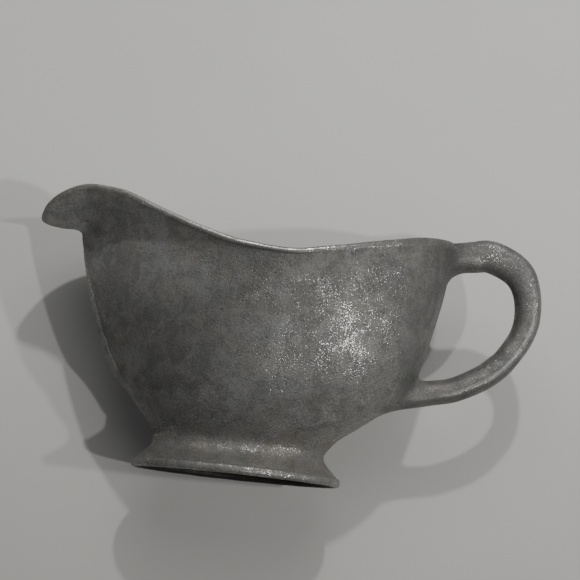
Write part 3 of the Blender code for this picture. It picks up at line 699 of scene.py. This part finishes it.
def entry(k, start, direction):
    """Share and point where the handle's k-th long line enters the bowl, coming from a share outside it."""
    step = 0.002
    share = start
    before = handle_section(share)[k]
    while 0.0 < share < 1.0:
        ahead = share + direction * step
        after = handle_section(min(max(ahead, 0.0), 1.0))[k]
        run = Vector(after - before)
        hit, normal, _, _ = bowl_tree.ray_cast(Vector(before), run.normalized(), run.length)
        if hit is not None:
            return share, hit, normal
        share, before = ahead, after
    raise ValueError("a long line of the handle misses the bowl")


def fillet(start, direction, outer, side, inner):
    """A fan of curves from the handle to the bowl; the three lengths say how far each way it reaches."""
    rows = 16
    depth = 0.0007

    def build(work):
        skins = []
        for k in range(SECTION_POINTS):
            turn = 2.0 * math.pi * k / SECTION_POINTS
            toward = math.cos(turn)
            reach = mix(side, outer, toward ** 2) if toward > 0.0 else mix(side, inner, toward ** 2)
            share, corner, normal = entry(k, start, direction)
            away = share
            walked = 0.0
            place = Vector(handle_section(away)[k])
            while walked < reach:
                away -= direction * 0.002
                ahead = Vector(handle_section(away)[k])
                walked += (ahead - place).length
                place = ahead
            section = handle_section(away)
            outward = Vector(np.cross(section[(k + 1) % SECTION_POINTS] - section[k - 1],
                                      np.array(handle_section(away + 0.002)[k]) - section[k]))
            outward.normalize()
            if outward.dot(Vector(section[k]) - Vector(section.mean(axis=0))) < 0.0:
                outward = -outward
            normal = outwards(normal, corner)
            spread = outward - normal * outward.dot(normal)
            spread.normalize()
            target = corner + spread * reach
            nearest, landing_normal, _, _ = bowl_tree.find_nearest(target)
            landing_normal = outwards(landing_normal, nearest)
            ceiling = float(np.interp(-abs(nearest.y), -back_rim[:, 1], back_rim[:, 2])) - 0.0004
            if nearest.z > ceiling and nearest.z > corner.z:
                back = (ceiling - corner.z) / (nearest.z - corner.z)
                nearest = corner.lerp(nearest, min(max(back, 0.02), 1.0))
            landing = nearest - landing_normal * 0.00012
            start_point = place + outward * 0.00004
            curve = []
            for row in range(rows + 1):
                t = row / rows
                curve.append(start_point * (1 - t) ** 2 + corner * 2 * t * (1 - t) + landing * t * t)
            under = [landing - landing_normal * depth, corner - landing_normal * depth - outward * depth,
                     place - outward * depth]
            skins.append([list(p) for p in curve + under])
        skin_grid(work, skins, close_rows=True, close_columns=True)

    return build


upper_root = make_piece("handle_root_upper", fillet(0.30, -1.0, 0.0060, 0.0100, 0.0085),
                        ["handle_joint_upper"], uneven=0.00006, wave_size=0.006)
lower_root = make_piece("handle_root_lower", fillet(0.78, 1.0, 0.0085, 0.0090, 0.0060),
                        ["handle_joint_lower"], uneven=0.00006, wave_size=0.006)

# %% [markdown]
# ## What the metal looks like
# Old cast pewter is a dull grey with four things in it. The skin of the sand mould leaves a fine pebbly
# grain with small pits. Oxide gathers in soft patches, some darker, some a little warm or cool. And
# whatever hands and tables touch, such as the rim, the crest of the handle and the edge of the foot, is
# rubbed smooth and bright; along the handle's crest and over its top bend that brightness is also a painted
# highlight. Last, single grains are bare of their film and flash, and where they crowd on the belly they are
# partly a painted highlight. Each of the four is a shader node group with its own inputs, built once and
# placed in each finish with its own values.

# %% Node group helpers
def new_group(name, inputs, outputs):
    """An empty shader node group with named inputs (name, kind, default) and outputs (name, kind)."""
    group = bpy.data.node_groups.new(name, "ShaderNodeTree")
    for label, kind, default in inputs:
        socket = group.interface.new_socket(label, in_out="INPUT", socket_type="NodeSocket" + kind)
        if default is not None:
            socket.default_value = default
    for label, kind in outputs:
        group.interface.new_socket(label, in_out="OUTPUT", socket_type="NodeSocket" + kind)
    return group, group.nodes.new("NodeGroupInput"), group.nodes.new("NodeGroupOutput")


def math_node(tree, operation, first, second=None, clamp=False):
    node = tree.nodes.new("ShaderNodeMath")
    node.operation = operation
    node.use_clamp = clamp
    for socket, value in zip(node.inputs, (first, second)):
        if value is None:
            continue
        if isinstance(value, (int, float)):
            socket.default_value = value
        else:
            tree.links.new(value, socket)
    return node.outputs[0]


def ramp(tree, value, low, high, to_low=0.0, to_high=1.0):
    """Map a value from one range smoothly to another and stop at its ends."""
    node = tree.nodes.new("ShaderNodeMapRange")
    node.interpolation_type = "SMOOTHSTEP"
    tree.links.new(value, node.inputs["Value"])
    for label, number in (("From Min", low), ("From Max", high), ("To Min", to_low), ("To Max", to_high)):
        node.inputs[label].default_value = number
    return node.outputs["Result"]


def blend(tree, kind, share, first, second, mode="MIX"):
    """Mix two values or colours by a share; each may be a constant or a socket."""
    node = tree.nodes.new("ShaderNodeMix")
    node.data_type = kind
    if kind == "RGBA":
        node.blend_type = mode
    sockets = [s for s in node.inputs if s.enabled]
    for socket, value in zip(sockets, (share, first, second)):
        if isinstance(value, (int, float, tuple)):
            socket.default_value = value
        else:
            tree.links.new(value, socket)
    return [s for s in node.outputs if s.enabled][0]


def cloud(tree, place, size, detail=2.0, rough=0.5, warp=0.0, shift=(0.0, 0.0, 0.0)):
    """Noise with lumps of about a size in metres; size may be a number or a socket."""
    node = tree.nodes.new("ShaderNodeTexNoise")
    node.inputs["Detail"].default_value = detail
    node.inputs["Roughness"].default_value = rough
    node.inputs["Distortion"].default_value = warp
    if isinstance(size, float):
        node.inputs["Scale"].default_value = 1.0 / size
    else:
        tree.links.new(math_node(tree, "DIVIDE", 1.0, size), node.inputs["Scale"])
    moved = tree.nodes.new("ShaderNodeVectorMath")
    moved.operation = "ADD"
    moved.inputs[1].default_value = shift
    tree.links.new(place, moved.inputs[0])
    tree.links.new(moved.outputs[0], node.inputs["Vector"])
    return node.outputs["Fac"]


# %% [markdown]
# ## Grain of the casting
# The pebbles are noise at about half a millimetre, and the pits are the middles of Voronoi cells, kept only
# where a slower noise allows them. The group puts out one height for a Bump node and a mask of the pits.

# %% Casting grain
grain_group, grain_in, grain_out = new_group(
    "casting_grain",
    [("Place", "Vector", None), ("Grain Size", "Float", 0.0007), ("Pit Size", "Float", 0.0016),
     ("Pit Share", "Float", 0.5)],
    [("Height", "Float"), ("Pits", "Float")])
grain_place = grain_in.outputs["Place"]
pebbles = cloud(grain_group, grain_place, grain_in.outputs["Grain Size"], detail=3.0, rough=0.62)
cells = grain_group.nodes.new("ShaderNodeTexVoronoi")
cells.feature = "F1"
grain_group.links.new(grain_place, cells.inputs["Vector"])
per_metre = math_node(grain_group, "DIVIDE", 1.0, grain_in.outputs["Pit Size"])
grain_group.links.new(per_metre, cells.inputs["Scale"])
pit = ramp(grain_group, cells.outputs["Distance"], 0.10, 0.38, 1.0, 0.0)
where = ramp(grain_group, cloud(grain_group, grain_place, 0.006, shift=(0.3, 0.1, 0.7)), 0.45, 0.62)
pits = math_node(grain_group, "MULTIPLY", math_node(grain_group, "MULTIPLY", pit, where),
                 grain_in.outputs["Pit Share"])
height = math_node(grain_group, "SUBTRACT", pebbles, math_node(grain_group, "MULTIPLY", pits, 0.8))
grain_group.links.new(height, grain_out.inputs["Height"])
grain_group.links.new(pits, grain_out.inputs["Pits"])

# %% [markdown]
# ## Oxide in patches
# A slow noise, warped a little, makes the patches; a quicker one breaks up their edges; a third, fine one
# gives the salt-and-pepper of the skin. The tint leans warm in some patches and cool in others by a few
# hundredths.

# %% Oxide patches
oxide_group, oxide_in, oxide_out = new_group(
    "oxide_patches",
    [("Place", "Vector", None), ("Patch Size", "Float", 0.016), ("Dark", "Color", (0.1, 0.1, 0.1, 1.0)),
     ("Light", "Color", (0.3, 0.3, 0.3, 1.0)), ("Speckle", "Float", 0.5)],
    [("Colour", "Color"), ("Patches", "Float")])
place = oxide_in.outputs["Place"]
slow = cloud(oxide_group, place, oxide_in.outputs["Patch Size"], detail=4.0, rough=0.62, warp=0.6)
slower = cloud(oxide_group, place, 0.045, detail=2.0, shift=(1.7, 0.4, 0.9))
both = math_node(oxide_group, "ADD", math_node(oxide_group, "MULTIPLY", slow, 0.62),
                 math_node(oxide_group, "MULTIPLY", slower, 0.38))
patches = ramp(oxide_group, both, 0.34, 0.66)
speck = cloud(oxide_group, place, 0.0008, detail=2.0, rough=0.6, shift=(0.2, 0.8, 0.5))
speck_share = math_node(oxide_group, "MULTIPLY", math_node(oxide_group, "SUBTRACT", speck, 0.5),
                        oxide_in.outputs["Speckle"])
speckled = math_node(oxide_group, "MULTIPLY", speck_share, 2.4)
share = math_node(oxide_group, "ADD", patches, speckled, clamp=True)
tone = blend(oxide_group, "RGBA", share, oxide_in.outputs["Dark"], oxide_in.outputs["Light"])
tint = ramp(oxide_group, cloud(oxide_group, place, 0.012, detail=2.0, shift=(2.1, 1.3, 0.2)), 0.40, 0.60)
tinted = blend(oxide_group, "RGBA", tint, (1.02, 0.995, 0.965, 1.0), (0.985, 1.0, 1.005, 1.0))
colour = blend(oxide_group, "RGBA", 1.0, tone, tinted, "MULTIPLY")
oxide_group.links.new(colour, oxide_out.inputs["Colour"])
oxide_group.links.new(patches, oxide_out.inputs["Patches"])

# %% [markdown]
# ## Rubbed edges
# Each piece keeps a number from 0 to 1 on its points that says how exposed a point is. Noise breaks that
# up, since rubbing skips the hollows of the grain, and the result is one mask that the finish uses for a
# lighter colour, more metal, a lower roughness and a flatter grain.

# %% Rubbed edges
rub_group, rub_in, rub_out = new_group(
    "rubbed_edges_and_painted_highlight",
    [("Place", "Vector", None), ("Exposed", "Float", 0.0), ("Grain", "Float", 0.5), ("Reach", "Float", 0.5)],
    [("Rubbed", "Float")])
broken = cloud(rub_group, rub_in.outputs["Place"], 0.0026, detail=3.0, rough=0.7, shift=(0.6, 0.6, 0.1))
fine = math_node(rub_group, "SUBTRACT", rub_in.outputs["Grain"], 0.5)
level = math_node(rub_group, "ADD", rub_in.outputs["Exposed"],
                  math_node(rub_group, "MULTIPLY", math_node(rub_group, "SUBTRACT", broken, 0.5), 0.9))
level = math_node(rub_group, "ADD", level, math_node(rub_group, "MULTIPLY", fine, 0.8))
level = math_node(rub_group, "SUBTRACT", level, rub_in.outputs["Reach"])
rubbed_and_painted_highlight = math_node(rub_group, "MULTIPLY", level, 2.2, clamp=True)
rub_group.links.new(rubbed_and_painted_highlight, rub_out.inputs["Rubbed"])


# %% [markdown]
# ## Bare grains
# Under the dull film the metal is bright. Handling wears the film off the tops of single grains, more of
# them in some places than in others, and each bare top is a small mirror that flashes only when a lamp
# stands right for it. Where they crowd is partly a painted highlight, set by the amount painted on the
# points. The mask is a fine noise cut high, and a slower noise decides how many grains are bare.

# %% Bare grains
bare_group, bare_in, bare_out = new_group(
    "bare_grains_and_painted_highlight",
    [("Place", "Vector", None), ("Grain Size", "Float", 0.0006), ("Amount", "Float", 0.5)],
    [("Bare", "Float")])
tops = cloud(bare_group, bare_in.outputs["Place"], bare_in.outputs["Grain Size"], detail=2.0, rough=0.7,
             shift=(0.9, 0.2, 0.4))
crowd = ramp(bare_group, cloud(bare_group, bare_in.outputs["Place"], 0.008, detail=3.0, rough=0.6,
                               shift=(0.1, 0.5, 0.3)), 0.38, 0.66, 0.3, 1.0)
wanted = math_node(bare_group, "MULTIPLY", crowd, bare_in.outputs["Amount"])
lifted = math_node(bare_group, "ADD", tops, math_node(bare_group, "MULTIPLY", wanted, 0.18))
bare_group.links.new(ramp(bare_group, lifted, 0.64, 0.78), bare_out.inputs["Bare"])

# %% [markdown]
# ## The finishes
# Each finish is its own material on the Principled shader, with the four groups in it. The dull film
# scatters light like paint and is only partly metal, so its Metallic is well under 1, while bare grains and
# rubbed places are all metal and smoother. The values that never change over the surface sit on the
# shader's own sockets.

# %% Pewter finishes
def add_group(tree, group, values):
    node = tree.nodes.new("ShaderNodeGroup")
    node.node_tree = group
    for label, value in values.items():
        if isinstance(value, (int, float, tuple)):
            node.inputs[label].default_value = value
        else:
            tree.links.new(value, node.inputs[label])
    return node


def point_number(tree, name):
    """One of the numbers painted on a piece's points."""
    node = tree.nodes.new("ShaderNodeAttribute")
    node.attribute_name = name
    return node


BRIGHT = (0.52, 0.515, 0.50)
PIT_BLACK = (0.03, 0.03, 0.03, 1.0)
FILM_METALLIC = 0.40
BARE_ROUGHNESS = 0.22


def pewter(name, dark, light, roughness, grain_size, grain_depth, pit_share, speckle, reach, patch, bare):
    """One pewter finish: film colours, roughness, grain, oxide patches, rubbing and bare grains, and the
    painted light and shade of the tone.
    """
    finish = bpy.data.materials.new(name)
    finish.use_nodes = True
    tree = finish.node_tree
    shader = tree.nodes["Principled BSDF"]
    shader.inputs["Specular IOR Level"].default_value = 0.35
    place = tree.nodes.new("ShaderNodeTexCoord").outputs["Object"]
    exposed, tone, bared_and_painted_highlight = [point_number(tree, label) for label in ("exposed", "tone", "bared_and_painted_highlight")]
    grain = add_group(tree, grain_group, {"Place": place, "Grain Size": grain_size, "Pit Share": pit_share})
    oxide = add_group(tree, oxide_group, {"Place": place, "Patch Size": patch, "Dark": (*dark, 1.0),
                                          "Light": (*light, 1.0), "Speckle": speckle})
    rub = add_group(tree, rub_group, {"Place": place, "Exposed": exposed.outputs["Fac"],
                                      "Grain": grain.outputs["Height"], "Reach": reach})
    amount = math_node(tree, "MULTIPLY", bared_and_painted_highlight.outputs["Fac"], bare)
    grains = add_group(tree, bare_group, {"Place": place, "Grain Size": grain_size * 0.8, "Amount": amount})
    rubbed_and_painted_highlight = math_node(tree, "MAXIMUM", rub.outputs["Rubbed"], grains.outputs["Bare"])
    bright_metal_and_painted_highlight = blend(tree, "RGBA", rubbed_and_painted_highlight, oxide.outputs["Colour"], (*BRIGHT, 1.0))
    # Painted light and shade: the colour is multiplied by the tone kept on the points.
    colour_with_painted_light = blend(tree, "RGBA", 1.0, bright_metal_and_painted_highlight, tone.outputs["Color"], "MULTIPLY")
    tree.links.new(blend(tree, "FLOAT", rubbed_and_painted_highlight, FILM_METALLIC, 1.0), shader.inputs["Metallic"])
    pit_mask = math_node(tree, "MULTIPLY", grain.outputs["Pits"], 0.6)
    tree.links.new(blend(tree, "RGBA", pit_mask, colour_with_painted_light, PIT_BLACK), shader.inputs["Base Color"])
    polish = math_node(tree, "MULTIPLY", oxide.outputs["Patches"], 0.10)
    dull = math_node(tree, "SUBTRACT", roughness + 0.05, polish)
    tree.links.new(blend(tree, "FLOAT", rubbed_and_painted_highlight, dull, BARE_ROUGHNESS), shader.inputs["Roughness"])
    bump = tree.nodes.new("ShaderNodeBump")
    bump.inputs["Strength"].default_value = 1.0
    bump.inputs["Distance"].default_value = grain_depth
    flatter = math_node(tree, "SUBTRACT", 1.0, math_node(tree, "MULTIPLY", rub.outputs["Rubbed"], 0.45))
    tree.links.new(math_node(tree, "MULTIPLY", grain.outputs["Height"], flatter), bump.inputs["Height"])
    tree.links.new(bump.outputs["Normal"], shader.inputs["Normal"])
    return finish


bowl_finish = pewter(
    "bowl_pewter_cast", dark=(0.112, 0.111, 0.109), light=(0.190, 0.188, 0.181), roughness=0.56,
    grain_size=0.00065, grain_depth=0.00020, pit_share=0.6, speckle=0.9, reach=0.66, patch=0.0065, bare=0.85)
foot_finish = pewter(
    "foot_pewter_cast", dark=(0.116, 0.112, 0.107), light=(0.190, 0.184, 0.175), roughness=0.56,
    grain_size=0.00065, grain_depth=0.00018, pit_share=0.5, speckle=0.8, reach=0.66, patch=0.0065, bare=0.75)
handle_finish = pewter(
    "handle_pewter_cast", dark=(0.112, 0.111, 0.109), light=(0.180, 0.178, 0.172), roughness=0.52,
    grain_size=0.00060, grain_depth=0.00018, pit_share=0.4, speckle=0.8, reach=0.60, patch=0.0065, bare=0.75)
wire_finish = pewter(
    "bead_pewter_worn", dark=(0.120, 0.119, 0.115), light=(0.195, 0.192, 0.185), roughness=0.50,
    grain_size=0.00060, grain_depth=0.00020, pit_share=0.4, speckle=0.9, reach=0.54, patch=0.0055, bare=0.9)
solder_finish = pewter(
    "solder_pewter_rough", dark=(0.140, 0.140, 0.135), light=(0.230, 0.228, 0.220), roughness=0.56,
    grain_size=0.00080, grain_depth=0.00030, pit_share=0.7, speckle=0.8, reach=0.66, patch=0.004, bare=0.6)

# %% Which piece wears which finish
for piece, finish in ((bowl_near, bowl_finish), (bowl_far, bowl_finish), (rim, wire_finish),
                      (keel_seam, solder_finish), (back_low, solder_finish), (back_high, solder_finish),
                      (foot, foot_finish), (foot_edge, wire_finish), (foot_joint, foot_finish),
                      (handle, handle_finish), (upper_root, bowl_finish), (lower_root, bowl_finish)):
    piece.data.materials.clear()
    piece.data.materials.append(finish)

# %% [markdown]
# ## How exposed each point is
# The rim is rubbed on its upper outer edge, the foot on the outer edge of its bead, and the handle along
# its crest, where the rubbed line, like the pale patch over the top bend, is also a painted highlight. Each
# is worked out from where a point lies on its piece. Every piece also carries painted light and shade as its
# tone, and a share of bare grains that is partly a painted highlight.

# %% Exposed places
UNTOUCHED = 0.12


def exposed_on_rim():
    co = points_of(rim)
    amounts = np.zeros(len(co))
    angles = np.linspace(0.0, 180.0, 721)
    line = rim_line(angles)
    for i, point in enumerate(co):
        near = np.argmin(((line[:, :2] - [point[0], abs(point[1])]) ** 2).sum(axis=1))
        depth = (line[near, 2] - point[2]) / bead_height(angles[near])
        out = np.dot(np.array([point[0], abs(point[1])]) - line[near, :2], rim_normal(angles[near])[:2])
        reach = float(between(angles[near], 20.0, 50.0) * between(angles[near], 150.0, 120.0))
        amounts[i] = (1.15 - abs(depth - 0.30) * 1.6) * (0.60 + 220.0 * out) * reach
    return np.clip(amounts, 0.0, 1.0)


def rubbed_and_painted_highlight_on_handle(piece):
    """Rubbed most along the crest and over the whole of the top bend where a thumb rests; the crest's bright
    line and the bend's pale patch are also painted highlight.
    """
    co = points_of(piece)
    shares = np.linspace(0.0, 1.0, 400)
    middles = np.array([handle_place(share)[0] for share in shares])
    frames = [handle_frame(share) for share in shares]
    amounts = np.zeros(len(co))
    for i, point in enumerate(co):
        near = np.argmin(((middles - [point[0], 0.0, point[2]]) ** 2).sum(axis=1))
        middle, outward, width = frames[near]
        off = np.dot(point - middle, outward) / width - (CREST_PLACE - 0.5)
        along = float(between(shares[near], 0.20, 0.40) * between(shares[near], 0.86, 0.72))
        bend = float(between(shares[near], 0.10, 0.22) * between(shares[near], 0.42, 0.30))
        # Painted highlight: a thin bright line along the crest, on top of the rubbing.
        crest = (1.15 - abs(off - 0.02) * 10.0) * along
        amounts[i] = max(crest, 0.62 * (1.0 - abs(off - 0.06) * 2.6) * bend, UNTOUCHED)
    return np.clip(amounts, 0.0, 1.0)


def exposed_on_foot_bead():
    co = points_of(foot_edge)
    out = np.hypot((co[:, 0] - FOOT_X) / (FOOT_LENGTH / 2.0), co[:, 1] / (FOOT_WIDTH / 2.0))
    level = co[:, 2] / FOOT_WIRE_HEIGHT
    return 0.50 * np.clip((out - 0.90) * 9.0, 0.0, 1.0) * np.clip(1.1 - np.abs(level - 0.75) * 2.2, 0.0, 1.0)


def rim_depth(co):
    """How far below the rim each point lies, as seen from the side."""
    line = rim_line(np.linspace(0.0, 180.0, 361))
    return np.interp(co[:, 0], line[:, 0], line[:, 2]) - co[:, 2]


def hump(value, middle, spread):
    """1 at the middle, falling off on both sides."""
    return np.exp(-((value - middle) / spread) ** 2)


def painted_light_and_shade(piece):
    """Painted light and shade: painted light on the lip and low on the belly, painted shade up the side, in
    the valley beside the lip, under the rim, at the handle's roots and inside the foot.
    """
    co = points_of(piece)
    x, z = co[:, 0], co[:, 2]
    # Painted light on the lip and low on the belly, painted shade in the valley beside the lip, up the side
    # and at both handle roots.
    lip = between(x, -0.012, -0.062) * between(z, 0.055, 0.085)
    valley = hump(x, -0.0885, 0.0065) * between(z, 0.084, 0.094) * between(z, 0.113, 0.105)
    upper = between(z, 0.055, 0.075) * between(x, -0.045, -0.015) * between(x, 0.055, 0.030)
    upper_end = hump(x, 0.069, 0.008) * between(z, 0.085, 0.095)
    lower_arm = between(x, 0.042, 0.058) * between(z, 0.068, 0.048)
    low = between(z, 0.046, 0.034) * between(x, -0.055, -0.025) * between(z, 0.016, 0.022)
    tone = 1.0 + 0.66 * lip - 0.42 * valley - 0.18 * upper - 0.14 * upper_end - 0.24 * lower_arm + 0.20 * low
    if piece in (bowl_near, bowl_far):
        # Painted shade in the hollow just under the rim.
        depth = rim_depth(co)
        hollow = between(depth, 0.0015, 0.0035) * between(depth, 0.0095, 0.0045)
        tone -= 0.03 * hollow * between(x, -0.080, -0.050) * between(x, 0.050, 0.020)
    if piece in (foot, foot_edge):
        # Painted shade darkens the foot's inner face.
        tone *= 1.0 - 0.85 * painted_shade_inside_foot(co)
    return tone


def painted_shade_inside_foot(co):
    """1 on the foot's inner face, which is painted dark as painted shade in the hollow, and 0 on its outer
    face.
    """
    levels = np.linspace(0.0, FOOT_HEIGHT, 60)
    corners = np.array([foot_ring(level).max(axis=0) for level in levels])
    half_length = np.interp(co[:, 2], levels, corners[:, 0]) - FOOT_X
    half_width = np.interp(co[:, 2], levels, corners[:, 1])
    out = np.hypot((co[:, 0] - FOOT_X) / half_length, co[:, 1] / half_width)
    return between(out, 0.972, 0.952)


def bare_grain_share_and_painted_highlight(piece):
    """Share of bare grains: partly wear on the belly and the bead, partly painted highlight, with a crowd
    where the highlight falls on the belly and few where the spout, the keel, the roots and the band under the
    rim lie in shade.
    """
    co = points_of(piece)
    x, z = co[:, 0], co[:, 2]
    amount = np.ones(len(co))
    if piece in (bowl_near, bowl_far, keel_seam):
        amount = 1.0 - 0.9 * between(x, -0.020, -0.055)
        amount *= 1.0 - 0.8 * between(rim_depth(co), 0.014, 0.008)
        amount *= 1.0 - 0.7 * between(x, 0.046, 0.056)
        # Painted highlight: extra bare grains crowd where the lamps' highlight falls on the belly.
        amount = amount * 0.90 + 0.45 * hump(x, 0.034, 0.016) * hump(z, 0.055, 0.013)
    if piece in (handle, upper_root, lower_root):
        amount = 0.35 + 0.65 * between(x, 0.075, 0.087)
    if piece is rim:
        amount = 0.35 + 0.65 * between(x, 0.052, 0.037)
    return amount


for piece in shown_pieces():
    paint(piece, "tone", painted_light_and_shade(piece))
    paint(piece, "bared_and_painted_highlight", bare_grain_share_and_painted_highlight(piece))
paint(rim, "exposed", exposed_on_rim())
for piece in (handle, upper_root, lower_root):
    paint(piece, "exposed", rubbed_and_painted_highlight_on_handle(piece))
paint(foot_edge, "exposed", exposed_on_foot_bead())
for piece in (bowl_near, bowl_far, foot, foot_joint, keel_seam, back_low, back_high):
    paint(piece, "exposed", np.full(len(piece.data.vertices), UNTOUCHED))

# %% [markdown]
# ## The board it lies on
# The boat lies on its far side against a plain pale board. The board leans at the slope of a line from the
# foot to the rim, and stands back just far enough to clear the belly, the widest place. It is a pale sheet
# with a faint random unevenness and painted shade that darkens it towards its lower part. Seen from behind
# it is clear, so the boat can be looked at from every side.

# %% Board
BOARD_CLEARANCE = 0.0003
touch_high = Vector((0.0, HALF_WIDTH + BEAD_PROUD, RIM_LOW - 0.001))
touch_low = Vector((0.0, FOOT_WIDTH / 2.0, 0.002))
board_up = (touch_high - touch_low).normalized()
board_back = Vector((0.0, board_up.z, -board_up.y))
board_middle = touch_low + board_up * 0.05
proud = max(float((points_of(piece) @ np.array(board_back)).max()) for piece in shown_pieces())
belly_gap = proud - board_middle.dot(board_back)
board_middle += board_back * (belly_gap + BOARD_CLEARANCE)
print("the belly stands", round(belly_gap, 4), "m past the line from foot to rim")


def build_board():
    half = 1.4
    steps = np.linspace(-half, half, 29)
    side = Vector((1.0, 0.0, 0.0))
    work = bmesh.new()
    skin_grid(work, [[board_middle + side * across + board_up * up for across in steps] for up in steps])
    mesh = bpy.data.meshes.new("board")
    work.to_mesh(mesh)
    work.free()
    board = bpy.data.objects.new("board", mesh)
    bpy.context.scene.collection.objects.link(board)
    board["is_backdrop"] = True
    return board


def board_finish():
    finish = bpy.data.materials.new("pale_board")
    finish.use_nodes = True
    tree = finish.node_tree
    shader = tree.nodes["Principled BSDF"]
    shader.inputs["Roughness"].default_value = 0.85
    shader.inputs["Specular IOR Level"].default_value = 0.2
    place = tree.nodes.new("ShaderNodeTexCoord").outputs["Object"]
    shade = ramp(tree, cloud(tree, place, 0.12, detail=3.0), 0.35, 0.65)
    height = tree.nodes.new("ShaderNodeSeparateXYZ")
    tree.links.new(place, height.inputs[0])
    # Painted shade: the board's colour darkens towards its lower part.
    lower = ramp(tree, height.outputs["Z"], 0.19, -0.10)
    uneven = math_node(tree, "MULTIPLY", shade, 0.12)
    mixed = math_node(tree, "MULTIPLY", math_node(tree, "ADD", uneven, lower), 0.9)
    board_colour_with_painted_shade = blend(tree, "RGBA", mixed, (0.625, 0.621, 0.612, 1.0), (0.445, 0.436, 0.421, 1.0))
    tree.links.new(board_colour_with_painted_shade, shader.inputs["Base Color"])
    clear = tree.nodes.new("ShaderNodeBsdfTransparent")
    behind = tree.nodes.new("ShaderNodeNewGeometry").outputs["Backfacing"]
    choose = tree.nodes.new("ShaderNodeMixShader")
    tree.links.new(behind, choose.inputs[0])
    tree.links.new(shader.outputs[0], choose.inputs[1])
    tree.links.new(clear.outputs[0], choose.inputs[2])
    tree.links.new(choose.outputs[0], tree.nodes["Material Output"].inputs["Surface"])
    return finish


board = build_board()
board.data.materials.append(board_finish())
facing = board.data.polygons[0].normal.dot(-board_back)
print("board faces the boat" if facing > 0.0 else "board faces away")
if facing < 0.0:
    board.data.flip_normals()

# %% [markdown]
# ## Camera
# The view is square to the side of the boat from a little below its middle, so the hollow under the foot
# just shows, with the camera turned a few degrees about its own axis.

# %% Camera
CAMERA_DISTANCE = 0.50
CAMERA_RISE = math.radians(12.3495)
CAMERA_ROLL = math.radians(6.1302)
aim = Vector((0.00101741, 0.0, 0.08349068))
forward = Vector((0.0, math.cos(CAMERA_RISE), math.sin(CAMERA_RISE)))
level_right = Vector((1.0, 0.0, 0.0))
level_up = level_right.cross(forward)
right = level_right * math.cos(CAMERA_ROLL) + level_up * math.sin(CAMERA_ROLL)
up = level_up * math.cos(CAMERA_ROLL) - level_right * math.sin(CAMERA_ROLL)
camera_data = bpy.data.cameras.new("view")
camera_data.sensor_width = 36.0
camera_data.lens = 36.0 * 1136.0 / 580.0
camera_data.clip_start = 0.01
camera_data.clip_end = 20.0
camera = bpy.data.objects.new("view", camera_data)
bpy.context.scene.collection.objects.link(camera)
turned = Matrix((right, up, -forward)).transposed().to_4x4()
camera.matrix_world = Matrix.Translation(aim - forward * CAMERA_DISTANCE) @ turned
bpy.context.scene.camera = camera
print("camera at", [round(v, 4) for v in camera.matrix_world.translation])

# %% [markdown]
# ## Light
# Small soft lamps stand in front of the board. Two are to the right, one is high above the rim with a broad
# panel beside it, and a dim even sky fills what they leave, so the near side of the spout goes dark and the
# handle side is bright.

# %% Lights
def lamp(name, to_right, to_up, distance, size, power):
    """A square lamp aimed at the boat, placed by how far it stands off the camera's own direction."""
    direction = (-forward + right * to_right + up * to_up).normalized()
    data = bpy.data.lights.new(name, "AREA")
    data.shape = "DISK"
    data.size = size
    data.energy = power
    data.color = (1.0, 0.987, 0.962)
    thing = bpy.data.objects.new(name, data)
    thing.location = aim + direction * distance
    thing.rotation_mode = "QUATERNION"
    thing.rotation_quaternion = direction.to_track_quat("Z", "Y")
    bpy.context.scene.collection.objects.link(thing)
    return thing


lamp("lamp_right", 0.59, -0.08, 1.3, 0.04, 4.2)
lamp("lamp_far_right", 1.01, 0.05, 1.3, 0.05, 4.1)
lamp("lamp_above", 0.33, 1.54, 0.90, 0.04, 2.8)
lamp("panel_above", 0.20, 1.30, 0.90, 0.80, 2.1)
world = bpy.data.worlds.new("room")
bpy.context.scene.world = world
world.use_nodes = True
world.node_tree.nodes["Background"].inputs["Color"].default_value = (0.95, 0.975, 1.0, 1.0)
world.node_tree.nodes["Background"].inputs["Strength"].default_value = 0.13
